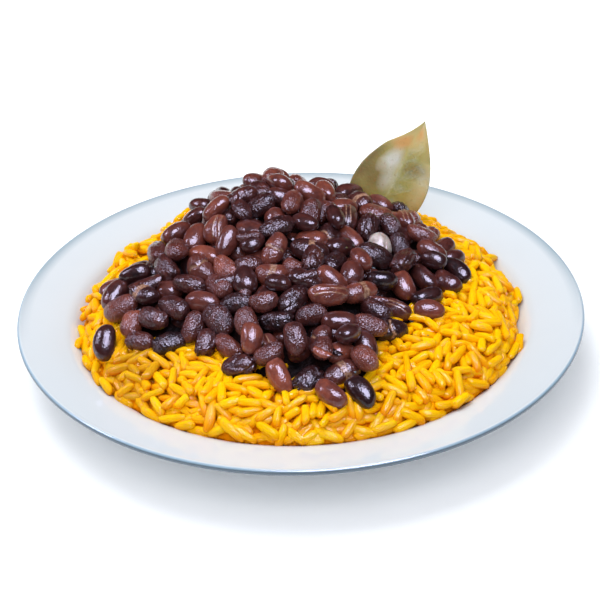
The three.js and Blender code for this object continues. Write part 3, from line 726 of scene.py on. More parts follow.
# x, y, direction of the long axis, lift of its far end, length, width, kind, tone
LAID_BEANS = [
    (24, -55, 112, 24, 13.6, 9.2, "smooth", 0.30), (34, -41, 20, 0, 14.2, 9.4, "cracked", 0.12),
    (21, -77, 130, 12, 14.2, 9.4, "smooth", 0.10), (10, -78, 132, 10, 13.6, 8.6, "smooth", 0.55),
    (-8, -69, 112, 26, 14.6, 8.2, "smooth", 0.66), (2, -70, 42, 0, 13.2, 9.8, "creased", 0.12),
    (14, -67, 32, 6, 14.8, 9.6, "banded", 0.38), (-2, -57, 98, 28, 13.6, 9.2, "eyed", 0.34),
    (-11, -54, 112, 24, 13.4, 8, "ridged", 0.48), (-23, -61, 4, 0, 13.2, 9.8, "creased", 0.26),
    (-20, -45, 100, 26, 12.8, 9.6, "pebbled", 0.42), (-27, -48, 130, 14, 14.6, 8.2, "wrinkled", 0.48),
    (-9, -44, 174, 0, 13.6, 8, "wrinkled", 0.08), (4, -43, 10, 0, 12.4, 8.4, "pebbled", 0.32),
    (6, -53, 62, 10, 12.8, 8, "cracked", 0.36), (23, -39, 20, 0, 11.6, 9, "wrinkled", 0.45),
    (29, -33, 150, 0, 13.4, 9, "wrinkled", 0.20), (37, -27, 154, 0, 12.6, 8.6, "ridged", 0.36),
    (11, -35, 8, 0, 16, 10.2, "ridged", 0.55), (24, -27, 28, 0, 14.8, 9, "banded", 0.55),
    (-24, -32, 176, 0, 13.8, 9.8, "wrinkled", 0.14), (-61, -41, 160, 0, 11.6, 8.8, "wrinkled", 0.34),
    (-65, -33, 70, 16, 12, 9.2, "wrinkled", 0.6), (-57, -34, 148, 0, 13.2, 9, "wrinkled", 0.30),
    (-50, -44, 16, 0, 13.4, 9.4, "wrinkled", 0.06), (-42, -39, 70, 14, 13.4, 8.8, "pebbled", 0.34),
    (-35, -45, 72, 8, 12.6, 8.4, "creased", 0.30), (-73, -14, 54, 16, 14.8, 9.2, "smooth", 0.32),
    (-65, -8, 6, 0, 12.6, 8, "smooth", 0.14), (-51, -18, 166, 0, 12.4, 10, "smooth", 0.40),
    (-38, -14, 122, 20, 14, 9.8, "cracked", 0.46), (-30, -15, 128, 14, 14, 9.4, "pebbled", 0.66),
    (-50, -32, 140, 0, 13.4, 9.6, "eyed", 0.24), (-40, -29, 164, 0, 14, 9, "smooth", 0.46),
    (50, -27, 176, 0, 12.4, 9, "smooth", 0.52), (50, -18, 30, 0, 14.6, 8.4, "smooth", 0.14),
    (59, -6, 134, 0, 13, 9, "smooth", 0.30), (64, 3, 130, 6, 15, 8.6, "smooth", 0.10),
    (50, -4, 126, 8, 15, 9, "smooth", 0.30), (41, -14, 116, 18, 13.6, 9.6, "smooth", 0.56),
    (60, 22, 44, 14, 14, 8.4, "smooth", 0.36), (63, 13, 30, 8, 13, 8, "smooth", 0.30),
    (33, 7, 106, 20, 11.8, 9.8, "bare", 0.90), (32, -18, 4, 0, 12.6, 8.4, "smooth", 0.06),
    (20, -19, 88, 22, 12, 10, "smooth", 0.40), (-37, -4, 152, 0, 15, 9, "smooth", 0.64),
    (-18, 5, 144, 8, 15, 10.2, "smooth", 0.34), (-8, 12, 116, 22, 14, 10, "smooth", 0.46),
]
# One bean has rolled off the heap onto the rice.
STRAY_BEAN = (-75, -38, 84, 44, 14.6, 9.6)

# %% The empty heap
HEAP_SEED = 20611
GRID_REACH = 96
SKY_HEIGHT = HEAP_HEIGHT + 20
SLOPE_REACH = 3
BEAN_SLOPE_FOLLOW = 0.6
BEAN_HARD_SHARE = 0.91
BEAN_SPREAD = 0.12
BEAN_GIRTH_SPREAD = BEAN_SPREAD * 0.7

heap = Bed(GRID_REACH, 1, rice_top)
block_leaf(heap, SKY_HEIGHT)
draws = Draws(HEAP_SEED)
print("cells of the heap:", heap.ground.size)


def new_bean(x, y, turn, rise, roll, length, width, thickness=BEAN_THICKNESS):
    """A bean whose broad side leans with the heap."""
    slope = slope_of(heap_top, x, y, SLOPE_REACH, BEAN_SLOPE_FOLLOW)
    return Morsel(x, y, slope, turn, rise, roll, (length, width, thickness), BEAN_HARD_SHARE)


def bean_sizes(size=1.0):
    return draws.around(BEAN_LENGTH * size, BEAN_SPREAD), draws.around(BEAN_WIDTH * size, BEAN_GIRTH_SPREAD)


# %% Filling the heap
HEAP_WEST = min(x for x, _ in HEAP_OUTLINE)
HEAP_SOUTH = min(y for _, y in HEAP_OUTLINE)
HEAP_SPAN = 156
BEAN_MARGIN = 5
BEAN_TRIES = 26
BEAN_TRY_REACH = 4
BEAN_TRY_RISE = 26 * DEGREE
BEAN_TRY_ROLL = 40 * DEGREE


def place_in_heap():
    x, y = HEAP_WEST + HEAP_SPAN * draws.share(), HEAP_SOUTH + HEAP_SPAN * draws.share()
    return (x, y) if heap_inset(x, y) >= BEAN_MARGIN + 1 else None


def fill_heap(depth, misses, size=1.0, cover_limit=1.0, keep_off=(0, 0)):
    """Fills the heap up to a depth below its surface."""

    def ways_to_lie(x, y):
        length, width = bean_sizes(size)
        thickness = draws.around(BEAN_THICKNESS * size, BEAN_GIRTH_SPREAD)
        for _ in range(BEAN_TRIES):
            way = new_bean(
                x + draws.either(BEAN_TRY_REACH), y + draws.either(BEAN_TRY_REACH), math.pi * draws.share(),
                draws.either(BEAN_TRY_RISE), draws.either(BEAN_TRY_ROLL), length, width, thickness,
            )
            yield heap.settle(way, keep_off)

    def fits(bean):
        inside = bean.z + bean.half[2] - heap_top(bean.x, bean.y) + depth < 0
        return inside and bean.covers <= cover_limit and heap_inset(bean.x, bean.y) >= BEAN_MARGIN

    heap.fill(place_in_heap, heap_top, ways_to_lie, fits, misses)


# %% A row round the edge
EDGE_ROW_INSET = 6
EDGE_ROW_STEP = 9
EDGE_ROW_SPREAD = 4
EDGE_ROW_TURN = 1.3
EDGE_ROW_ROLL = 16 * DEGREE
EDGE_ROW_GAP = 11


def lay_edge_row():
    """One row of beans round the heap's edge, where none is listed or held up by the leaf."""
    turn = 0.0
    while turn < 2 * math.pi:
        reach = around_value(HEAP_REACH, turn) - EDGE_ROW_INSET
        x = HEAP_SUMMIT[0] + reach * math.cos(turn)
        y = HEAP_SUMMIT[1] + reach * math.sin(turn)
        length, width = bean_sizes()
        roll = draws.either(EDGE_ROW_ROLL)
        heading = turn + draws.either(EDGE_ROW_TURN)
        bean = heap.settle(new_bean(x, y, heading, 0, roll, length, width))
        clear = all(math.hypot(laid[0] - x, laid[1] - y) > EDGE_ROW_GAP for laid in LAID_BEANS)
        if clear and bean.z - rice_top(x, y) < BEAN_THICKNESS:
            heap.lay(bean)
        turn += (EDGE_ROW_STEP + EDGE_ROW_SPREAD * draws.share()) / reach


# %% The heap from below
BASE_DEPTH = 6
PROUD_OF_HEAP = 2
SMALL_BEAN = 0.86
LAID_SHIFT = 4
LAID_PROUD = 1
LAID_SHIFT_COST = 0.5


def nestled(x, y, turn, rise, length, width):
    """A bean let down near a spot, shifted a little where it would stand proud of the heap."""
    best, lowest = None, math.inf
    for dy in range(-LAID_SHIFT, LAID_SHIFT + 1):
        for dx in range(-LAID_SHIFT, LAID_SHIFT + 1):
            bean = heap.settle(new_bean(x + dx, y + dy, turn, rise, 0, length, width))
            proud = bean.z + BEAN_THICKNESS / 2 - heap_top(bean.x, bean.y)
            cost = max(proud - LAID_PROUD, 0) + LAID_SHIFT_COST * math.hypot(dx, dy)
            if cost < lowest:
                best, lowest = bean, cost
    return best


lay_edge_row()
fill_heap(BASE_DEPTH, misses=80)
first_laid = len(heap.laid)
for x, y, turn, rise, length, width, _, _ in LAID_BEANS:
    heap.lay(nestled(x, y, turn * DEGREE, rise * DEGREE, length, width))
hand_laid = (first_laid, len(heap.laid))
fill_heap(-PROUD_OF_HEAP, misses=240, cover_limit=0.14, keep_off=hand_laid)
fill_heap(-PROUD_OF_HEAP - 1, misses=300, size=SMALL_BEAN, cover_limit=0.16, keep_off=hand_laid)
heap_beans = len(heap.laid)
x, y, turn, rise, length, width = STRAY_BEAN
heap.lay(heap.settle(new_bean(x, y, turn * DEGREE, rise * DEGREE, 0, length, width)))
print("beans:", heap_beans, "first laid by hand:", first_laid)

# %% [markdown]
# ## Many small things in one mesh
#
# Fourteen hundred grains as so many objects would be slow to handle and awkward to export. A
# pattern is made once with an operator, and one mesh then holds all its copies, each with points
# of its own, so that no two need be alike. Attributes on the points tell the material which copy
# it is on.


# %% Joined copies
def ball_pattern(around, along):
    """Points and faces of a unit ball with its poles on the X axis."""
    bm = bmesh.new()
    upright = Matrix.Rotation(math.pi / 2, 4, "Y")
    bmesh.ops.create_uvsphere(bm, u_segments=around, v_segments=along, radius=1, matrix=upright)
    mesh = bpy.data.meshes.new("pattern")
    bm.to_mesh(mesh)
    bm.free()
    points = np.empty(len(mesh.vertices) * 3)
    mesh.vertices.foreach_get("co", points)
    corners = np.empty(len(mesh.loops), np.int32)
    mesh.loops.foreach_get("vertex_index", corners)
    starts = np.empty(len(mesh.polygons), np.int32)
    mesh.polygons.foreach_get("loop_start", starts)
    bpy.data.meshes.remove(mesh)
    return points.reshape(-1, 3), corners, starts


def add_copies(name, ball, copies, material, slot, *stands_for):
    """Shows many copies of a ball as one piece: their points in millimetres, and their attributes."""
    points, corners, starts = ball
    clouds = copies.pop("cloud")
    before = np.arange(len(clouds))[:, None]
    mesh = bpy.data.meshes.new(name)
    mesh.vertices.add(len(clouds) * len(points))
    mesh.loops.add(len(clouds) * len(corners))
    mesh.polygons.add(len(clouds) * len(starts))
    mesh.vertices.foreach_set("co", (np.concatenate(clouds) * MM).ravel())
    mesh.loops.foreach_set("vertex_index", (corners + before * len(points)).ravel())
    mesh.polygons.foreach_set("loop_start", (starts + before * len(corners)).ravel())
    mesh.update(calc_edges=True)
    for label, noted in copies.items():
        values = np.concatenate([np.broadcast_to(v, (len(points), *np.shape(v)[1:])) for v in noted])
        kind, field = ("FLOAT_VECTOR", "vector") if values.ndim == 2 else ("FLOAT", "value")
        mesh.attributes.new(label, kind, "POINT").data.foreach_set(field, values.ravel())
    add_piece(name, mesh, material, slot, *stands_for)


def note(copies, **values):
    """Adds a copy: its cloud of points, and attributes for each of them or for all."""
    for label, value in values.items():
        copies[label].append(value)


def placed(piece, shape):
    """A unit shape at a morsel's size and place."""
    return (shape * piece.half) @ piece.axes + (piece.x, piece.y, piece.z)


# %% [markdown]
# ## The bed of rice
#
# Cooked long-grain rice lies loose: plump grains at all angles, with dark gaps between them. The
# gaps matter as much as the grains. So the bed is a low core in a deep orange, hidden under two or
# three layers of real grains. Under the heap, where nobody sees it, the core is enough. At the far
# left the rice is piled in a bank against the heap: over the directions from BANK_START to BANK_END
# the surface that the grains fill up to swells a little in from the wall.

# %% What the grains lie on
GRAIN_LAYER = 4.8
GRAIN_CELL = 0.5
GRAIN_SEED = 4402
RIM_SLOPE = (LIP_HEIGHT - RIM_START[1]) / (PLATE_RADIUS - RIM_START[0])
BANK_START = 119
BANK_END = 187
BANK_FADE = 9
BANK_INSET = 3.0
BANK_WIDTH = 10.0
BANK_HEIGHT = 6.5


def glaze_height(radius):
    if radius <= RIM_START[0]:
        return plate_height(radius)
    return RIM_START[1] + (radius - RIM_START[0]) * RIM_SLOPE


def grain_top(x, y):
    """The surface that the grains are piled up to, with the bank."""
    angle = math.atan2(y, x) / DEGREE % 360
    fade = held(min(angle - BANK_START, BANK_END - angle) / BANK_FADE)
    if not fade:
        return rice_top(x, y)
    inset = around_value(RICE_REACH, angle * DEGREE) - math.hypot(x, y)
    swell = max(1 - ((inset - BANK_INSET) / BANK_WIDTH) ** 2, 0)
    return rice_top(x, y) + BANK_HEIGHT * fade * swell


def under_grains(x, y):
    """The core, or the bare glaze beyond it."""
    radius = math.hypot(x, y)
    if radius > PLATE_RADIUS:
        return 0.0
    return max(rice_top(x, y) - GRAIN_LAYER, glaze_height(radius))


rice_bed = Bed(GRID_REACH, GRAIN_CELL, under_grains)
block_leaf(rice_bed, SKY_HEIGHT)
grain_draws = Draws(GRAIN_SEED)
print("cells of the rice:", rice_bed.ground.size)

# %% [markdown]
# The bed's steep side comes first. Few grains would stay on it if they were let down, so they are
# pressed into it along the wall. In front they keep in line with the wall, and at the back some
# lean out over the rim. None may sink into the glaze.

# %% Grains pressed into the edge
GRAIN_LENGTH = 11.0
GRAIN_WIDTH = 3.45
GRAIN_SPREAD = 0.1
GRAIN_HARD_SHARE = 0.8
EDGE_NEAREST = 0.6
EDGE_BAND = 6.5
EDGE_GRAIN_STEP = 1.4
EDGE_GRAIN_RISE = 12 * DEGREE
EDGE_LENGTHS = (0.7, 0.35)  # the least share of a full length, and how much is drawn on top
EDGE_PRESSED = 2.2
EDGE_LIFT = 3.0
FRONT_EDGE = -25
FRONT_SLACK, BACK_SLACK = 0.8, 3.0
FRONT_TURN, BACK_TURN = 1.0, 1.5


def tips(grain):
    """The two ends of a grain."""
    middle = np.array((grain.x, grain.y, grain.z))
    return [middle + end * grain.half[0] * grain.axes[0] for end in (-1, 1)]


def stays_in(grain):
    """Whether both ends of a grain lie inside the wall, but for some slack."""
    for x, y, _ in tips(grain):
        slack = FRONT_SLACK if y < FRONT_EDGE else BACK_SLACK
        if math.hypot(x, y) > around_value(RICE_REACH, math.atan2(y, x)) + slack:
            return False
    return True


def lay_edge_grains():
    turn = 0.0
    while turn < 2 * math.pi:
        reach = around_value(RICE_REACH, turn) - EDGE_NEAREST - EDGE_BAND * grain_draws.share()
        spread = FRONT_TURN if reach * math.sin(turn) < FRONT_EDGE else BACK_TURN
        heading = turn + math.pi / 2 + grain_draws.either(spread)
        length = GRAIN_LENGTH * grain_draws.above(*EDGE_LENGTHS)
        sizes = (length, *(grain_draws.around(GRAIN_WIDTH, GRAIN_SPREAD) for _ in range(2)))
        x, y = reach * math.cos(turn), reach * math.sin(turn)
        rise = grain_draws.either(EDGE_GRAIN_RISE)
        grain = Morsel(x, y, slope_of(rice_top, x, y, 1, 1), heading, rise, 0, sizes, GRAIN_HARD_SHARE)
        grain.z = rice_top(x, y) - EDGE_PRESSED * grain_draws.share()
        sunk = max(glaze_height(math.hypot(x, y)) + GRAIN_WIDTH / 3 - z for x, y, z in tips(grain))
        grain.z += max(sunk, 0)
        if stays_in(grain) and sunk < EDGE_LIFT:
            rice_bed.lay(grain)
        turn += EDGE_GRAIN_STEP / reach


lay_edge_grains()
print("grains at the edge:", len(rice_bed.laid))

# %% Grains let down
UNSEEN_INSET = 9  # rice further in under the heap than this is left to the core
GRAIN_THICKNESS = GRAIN_WIDTH * 0.9
GRAIN_THICKNESS_SPREAD = 0.08
GRAIN_EDGE_MARGIN = 1.0
GRAIN_LENGTHS = (0.72, 0.42)
GRAIN_TRIES = 14
GRAIN_TRY_REACH = 2.4
GRAIN_RISE = 38 * DEGREE
GRAIN_SLOPE_FOLLOW = 0.9
GRAIN_PROUD = 2.3
GRAIN_MISSES = 220


def place_in_rice():
    angle = 2 * math.pi * grain_draws.share()
    radius = WELL_RADIUS * math.sqrt(grain_draws.share())
    x, y = radius * math.cos(angle), radius * math.sin(angle)
    within = radius <= around_value(RICE_REACH, angle) - GRAIN_EDGE_MARGIN
    return (x, y) if within and heap_inset(x, y) <= UNSEEN_INSET else None


def grain_ways(x, y):
    """Ways in which one new grain may lie near a spot."""
    length = GRAIN_LENGTH * grain_draws.above(*GRAIN_LENGTHS)
    width = grain_draws.around(GRAIN_WIDTH, GRAIN_SPREAD)
    sizes = (length, width, grain_draws.around(GRAIN_THICKNESS, GRAIN_THICKNESS_SPREAD))
    for _ in range(GRAIN_TRIES):
        at = (x + grain_draws.either(GRAIN_TRY_REACH), y + grain_draws.either(GRAIN_TRY_REACH))
        turn = math.pi * grain_draws.share()
        rise, roll = grain_draws.either(GRAIN_RISE), grain_draws.either(math.pi / 2)
        slope = slope_of(rice_top, *at, 1, GRAIN_SLOPE_FOLLOW)
        yield rice_bed.settle(Morsel(*at, slope, turn, rise, roll, sizes, GRAIN_HARD_SHARE))


def grain_fits(grain):
    surface = max(grain_top(grain.x, grain.y), glaze_height(math.hypot(grain.x, grain.y)) + GRAIN_WIDTH / 2)
    raised = grain.z + abs(math.sin(grain.rise)) * grain.half[0] * 2 / 3
    return raised - surface - GRAIN_PROUD < 0 and stays_in(grain)


rice_bed.fill(place_in_rice, grain_top, grain_ways, grain_fits, GRAIN_MISSES)
print("grains:", len(rice_bed.laid))

# %% Grain shapes
GRAIN_AROUND = 8
GRAIN_ALONG = 8
GRAIN_SQUARENESS = 2.5
grain_pattern = ball_pattern(GRAIN_AROUND, GRAIN_ALONG)


def grain_shape(bend=0.0, crease=0.0, taper=0.08, bluntness=6.0, slant=0.16, frill=0.0):
    """A grain: squarish across, blunt and slanted at one end, bowed and creased along its length."""
    x, y, z = grain_pattern[0].T.copy()
    across = np.maximum(np.sqrt(y**2 + z**2), 1e-6)
    x = x * (1.5 - 0.5 * x**2)
    girth = np.maximum(1 - np.abs(x) ** bluntness, 0) ** (1 / 3) * (1 - taper * x)
    y, z = y / across, z / across
    square = (np.abs(y) ** GRAIN_SQUARENESS + np.abs(z) ** GRAIN_SQUARENESS) ** (-1 / GRAIN_SQUARENESS)
    y, z = y * square * girth, z * square * girth
    z = z - crease * np.exp(-((y / 0.35) ** 2)) * (z > 0) * (1 - x**2)
    y = y * (1 + frill * np.sin(9 * x))
    x = x - slant * y * (x < -0.5)
    return np.stack([x, y, z + bend * (0.35 - x**2)], axis=1)


# Each kind: its share of all grains, and its shape.
GRAIN_KINDS = {
    "rice_plump": (0.34, grain_shape()),
    "rice_bowed": (0.26, grain_shape(bend=0.4, taper=0.1)),
    "rice_slender": (0.18, grain_shape(bend=0.15, bluntness=4.0, taper=0.16)),
    "rice_creased": (0.15, grain_shape(bend=0.2, crease=0.35, frill=0.1)),
    "rice_broken": (0.07, grain_shape(bluntness=8.0, taper=0.02, slant=0.3)),
}

# %% [markdown]
# Cooked grains are wet and slightly see-through, so light enters them and comes out again nearby.
# Subsurface scattering with a short radius gives that, over a saturated egg yellow that drifts
# towards orange from grain to grain. Where bean juice has run into the rice it is dull and greenish
# brown. Under the edge of the heap it is darker and redder with oil, and the same darker red is
# painted shade deep between the grains and on the lower side of each grain.

# %% Rice finish
RICE_ORANGE = linear(240, 157, 0)
RICE_YELLOW = linear(243, 177, 0)
RICE_LEMON = linear(245, 193, 0)
RICE_STAIN = linear(176, 120, 20)
# painted shade as well as oil: this darker red marks the heap's edge, the depth between grains and each
# grain's lower side
RICE_OIL_AND_SHADE = linear(232, 104, 0)
LIGHT_REACH = (1.0, 0.5, 0.06)  # how far each colour of light gets inside a grain
STREAKS = (0.2, 1, 1)  # relief is drawn out along a grain
rice_finish, tree = new_finish(
    "rice_yellow", Roughness=0.4, Specular_IOR_Level=0.02, Coat_Weight=0.3, Coat_Roughness=0.04,
    Subsurface_Weight=0.3, Subsurface_Radius=LIGHT_REACH, Subsurface_Scale=MM,
)
principled(tree).subsurface_method = "BURLEY"
own = attribute(tree, "own_place", "Vector")
drift = calculate(tree, "ADD", attribute(tree, "tone"), varied(tree, own, 0.5, -0.12, 0.12, 2))
colour = ramp(tree, drift, (0.0, RICE_ORANGE), (0.5, RICE_YELLOW), (1.0, RICE_LEMON))
# the stain is bean juice; the second colour is oil at the heap's edge plus painted shade low down and under
# each grain
for label, covering in (("stain", RICE_STAIN), ("oil", RICE_OIL_AND_SHADE)):
    colour = blend(tree, attribute(tree, label), colour, covering)
drive(tree, "Base Color", colour)
drive(tree, "Roughness", varied(tree, own, 1.1, 0.26, 0.44))
relief(tree, pattern(tree, vectors(tree, "MULTIPLY", own, STREAKS), 1.3, 2), 0.0005, 0.8, coated=True)

# %% Grains
GRAIN_TONES = (0.32, 0.56)  # the least tone, and how much is drawn on top
BROKEN_LENGTH = 0.62
COVERED = 0.02  # a grain less open to the eye than this is left out
STAIN_MIDDLE = (-63, -52)
STAIN_REACH = 13
STAIN_MOST = 0.9
STAIN_DRAWN = (0.3, 0.7)
OIL_REACH = 5
OIL_DEPTH = 5
# oil beside the heap, and painted shade deep between the grains everywhere
OIL_BESIDE, DEEP_SHADE_SHARE = 0.4, 0.5
SHADE_START = 0.3  # painted shade: the lower side of each grain is painted redder
SHADE_REACH = 1.4
SHADE_SHARE = 0.5
SPOT_STEPS, SPOT_SPANS = np.array((7.3, 3.1, 0)), (97, 89, 1)  # each grain's own spot in the patterns


def stain_at(x, y):
    """How much bean juice has run into the rice here."""
    return math.exp(-((math.hypot(x - STAIN_MIDDLE[0], y - STAIN_MIDDLE[1]) / STAIN_REACH) ** 2))


def oil_at(x, y, z):
    """How much darker red here: painted shade low between the grains, and oil added at the heap's edge."""
    deep = held((grain_top(x, y) - z) / OIL_DEPTH)
    return (OIL_BESIDE * held(1 + heap_inset(x, y) / OIL_REACH) + DEEP_SHADE_SHARE) * deep


kind_names = list(GRAIN_KINDS)
kind_limits = np.cumsum([share for share, _ in GRAIN_KINDS.values()])
grains = {name: defaultdict(list) for name in kind_names}
for number, grain in enumerate(rice_bed.laid):
    name = kind_names[min(int(np.searchsorted(kind_limits, grain_draws.share())), len(kind_names) - 1)]
    tone = grain_draws.above(*GRAIN_TONES)
    stain = STAIN_MOST * stain_at(grain.x, grain.y) * grain_draws.above(*STAIN_DRAWN)
    if rice_bed.open_share(number) < COVERED:
        continue
    if name == "rice_broken":
        grain.half[0] *= BROKEN_LENGTH
    shape = GRAIN_KINDS[name][1]
    cloud = placed(grain, shape)
    shade = SHADE_SHARE * np.clip((grain.z + SHADE_START - cloud[:, 2]) / SHADE_REACH, 0, 1)
    oil = np.minimum(oil_at(grain.x, grain.y, grain.z) + shade, 1)
    own_place = shape * grain.half + number * SPOT_STEPS % SPOT_SPANS
    note(grains[name], cloud=cloud, tone=tone, stain=stain, oil=oil, own_place=own_place)
for name, copies in grains.items():
    add_copies(name, grain_pattern, copies, rice_finish, "rice", *(["rice"] if name == "rice_plump" else []))

# %% [markdown]
# The core under the grains is spun like the plate and then shaped: each ring is pulled out to the
# reach of the bed in its direction, and each point is set a little below the bed's surface, with
# lumps of grain size. Its deeper orange than the grains is painted shade for the gaps between them.

# %% Rice core
CORE_STEPS = 120
CORE_RINGS = 40
CORE_INSET = 1.2
CORE_SINK = 2.8
CORE_LEAST_SINK = 0.2
CORE_EDGE = 9
CORE_LUMP = 1.1
CORE_LUMP_SIZE = 3.0
CORE_OVER_GLAZE = 0.3
CORE_FLOOR = 0.05


def mound(rings, steps, middle, edge, height, floor):
    """A closed mound: a spun disc with its rings pulled out to an edge and set to a height."""
    profile = [(0, 1)] + [(ring / rings, 1) for ring in range(1, rings + 1)] + [(1, 0), (0, 0)]
    bm = spun(profile, steps)
    for vert in bm.verts:
        share = math.hypot(vert.co.x, vert.co.y)
        angle = math.atan2(vert.co.y, vert.co.x)
        reach = share * edge(angle)
        x, y = middle[0] + reach * math.cos(angle), middle[1] + reach * math.sin(angle)
        vert.co = (x, y, height(x, y, share) if vert.co.z > 0.5 else floor(x, y))
    bmesh.ops.recalc_face_normals(bm, faces=bm.faces)
    return bm


def rice_core_top(x, y, share):
    inner = share < 1
    radius = math.hypot(x, y)
    inset = around_value(RICE_REACH, math.atan2(y, x)) - radius
    sink = CORE_SINK * max(held(inset / CORE_EDGE), CORE_LEAST_SINK)
    lump = CORE_LUMP * noise.noise(Vector((x, y, 0)) / CORE_LUMP_SIZE)
    return max(rice_top(x, y) - sink + lump * inner, glaze_height(radius) + CORE_OVER_GLAZE * inner)


core_bm = mound(
    CORE_RINGS, CORE_STEPS, (0, 0), lambda angle: around_value(RICE_REACH, angle) - CORE_INSET,
    rice_core_top, lambda x, y: glaze_height(math.hypot(x, y)) + CORE_FLOOR,
)
# painted shade: the core is a deeper orange than the grains, for the gaps between them
core_finish, tree = new_finish("rice_shadow", Roughness=0.6, Specular_IOR_Level=0.0)
where = object_coordinates(tree)
mottling = pattern(tree, where, 420, 2)
drive(tree, "Base Color", ramp(tree, mottling, (0.3, linear(210, 112, 0)), (0.7, linear(240, 150, 0))))
relief(tree, pattern(tree, where, 500, 2), 0.0006)
add_piece("rice_core", core_bm, core_finish, "rice")

# %% [markdown]
# ## Bean shapes
#
# A black bean is a plump oval, a little flat on the side of its eye and bowed towards it. Cooking
# has made each one different: some stay smooth, some are finely pebbled, wrinkled or deeply
# creased, and in some the skin has split so that the tan inside shows. So every bean gets a shape
# of its own: a ball is bowed and tapered, and smooth noise is pressed into it. The same functions
# say where the inside shows, and the material reads that from an attribute.

# %% Bean forms
BEAN_FULLNESS = 2.35
BEAN_FLAT_SIDE = 0.9
BEAN_LUMPS = 0.08
WAVES = 9
WAVE_LENGTH = 2.4
heights = 1 - (2 * np.arange(WAVES) + 1) / WAVES
spiral = math.pi * (3 - math.sqrt(5)) * np.arange(WAVES)
across = np.sqrt(1 - heights**2)
wave_directions = np.stack([across * np.cos(spiral), across * np.sin(spiral), heights], axis=1)
wave_directions *= (0.8 + 0.2 * (np.arange(WAVES) % 3))[:, None] * 2 * math.pi / WAVE_LENGTH


def noise_over(points, scale, offset):
    """Smooth lumps between about -1 and 1: crossing waves that never line up."""
    return np.sin((points * scale + offset) @ wave_directions.T).sum(axis=1) / (WAVES * 0.8)


def valley(value, width):
    """1 at zero, falling smoothly to 0 at a width on either side."""
    return np.clip(1 - (value / width) ** 2, 0, 1) ** 2


def bean_body(points, offset, bow, taper):
    """The plain bean: fuller than a ball, bowed towards its flatter side, and a little lumpy."""
    x, y, z = points.T.copy()
    girth = np.sqrt(y**2 + z**2)
    full = (np.abs(x) ** BEAN_FULLNESS + girth**BEAN_FULLNESS) ** (-1 / BEAN_FULLNESS)
    lumps = noise_over(points, 1.1, offset) + noise_over(points, 2.3, offset) / 2
    swell = full * (1 + BEAN_LUMPS * lumps)
    y = np.where(y < 0, BEAN_FLAT_SIDE * y, y) * swell * (1 + taper * x)
    z = z * swell * (1 + taper * x)
    x = x * swell
    y = y + bow * (0.3 - x**2)
    return np.stack([x, y, z], axis=1)


# %% Kinds of skin
def bean_surface(kind, points, offset, bow, taper):
    """Points of a bean of a kind, and how much of the tan inside shows at each."""

    def lumps(scale):
        return noise_over(points, scale, offset)

    x, y, z = points.T
    fold = noise_over(points * (1.0, 1.6, 1.6), 1.7, offset * 1.3)
    depth = 0.012 * fold
    inside = np.zeros(len(points))
    if kind == "pebbled":
        depth = 0.018 * lumps(5.5) + 0.02 * fold
    elif kind == "wrinkled":
        depth = 0.055 * valley(fold, 0.22) + 0.015 * lumps(6)
    elif kind == "creased":
        depth = 0.15 * valley(fold, 0.16) + 0.02 * lumps(5)
    elif kind == "cracked":
        line = x - 0.15 + 0.35 * lumps(1.4)
        gap = valley(line, 0.13) * (z > -0.2)
        depth = 0.16 * gap - 0.05 * valley(np.abs(line) - 0.2, 0.1)
        inside = np.clip(gap * 1.6 - 0.2, 0, 1)
    elif kind == "banded":
        inside = np.clip((0.2 - np.abs(x + 0.1 + 0.12 * lumps(2.4))) / 0.05, 0, 1)
        depth = 0.05 * inside + 0.02 * fold
    elif kind == "ridged":
        across = y - 0.3 + 0.1 * lumps(1.6)
        lines = valley(across - 0.22, 0.12) + valley(across + 0.2, 0.12)
        ends = np.clip((0.85 - np.abs(x)) / 0.2, 0, 1) * (z > 0)
        depth = 0.07 * (valley(across, 0.13) - lines) * ends
        inside = np.clip(lines * 1.1 - 0.25, 0, 0.8) * ends
    elif kind == "eyed":
        from_eye = np.hypot((x + 0.05) / 0.3, (y - 0.35) / 0.2) + 3 * (z < 0)
        depth = 0.09 * valley(from_eye, 1) - 0.03 * valley(from_eye - 1.1, 0.4) + 0.02 * fold
        inside = 0.35 * valley(from_eye - 0.75, 0.3)
    elif kind == "bare":
        depth = 0.12 * valley(y + 0.1, 0.07) + 0.03 * fold
    return bean_body(points, offset, bow, taper) - points * depth[:, None], inside


# %% [markdown]
# Bean skin is almost black with a reddish brown that shines through where it is thin, under a wet
# coat of cooking juice. The tone of each bean picks its place on that scale, a mottling varies it
# over the bean, and the inside is a pale tan. Fine bumps and folds break the gloss up. One bean
# has lost its skin and is pale all over.

# %% Bean finishes
SKIN_TONES = [
    (0.0, linear(26, 12, 15)), (0.25, linear(62, 28, 27)), (0.5, linear(100, 48, 40)),
    (0.75, linear(140, 72, 54)), (1.0, linear(172, 102, 74)),
]
SKIN_SPECK = linear(30, 16, 18)
INSIDE_TONES = [(0.35, linear(112, 72, 56)), (0.7, linear(176, 136, 112))]
BARE_TONES = [(0.35, linear(150, 128, 118)), (0.65, linear(196, 184, 184))]
FOLD_SHARE = 0.5
bean_finish, tree = new_finish(
    "bean_skin", Specular_IOR_Level=0.15, Coat_Weight=0.9, Coat_Roughness=0.04, Coat_IOR=1.5,
)
own = attribute(tree, "own_place", "Vector")
drift = calculate(tree, "ADD", attribute(tree, "tone"), varied(tree, own, 0.28, -0.13, 0.13, 4, 0.6))
skin = blend(tree, specks(tree, own, 2.2, 0.25), ramp(tree, drift, *SKIN_TONES), SKIN_SPECK)
inside = attribute(tree, "inside")
ragged = calculate(tree, "MULTIPLY", varied(tree, own, 1.4, -0.35, 0.35, 3), inside)
open_skin = between(tree, calculate(tree, "ADD", inside, ragged), 0.25, 0.75)
drive(tree, "Base Color", blend(tree, open_skin, skin, ramp(tree, pattern(tree, own, 1.1, 4), *INSIDE_TONES)))
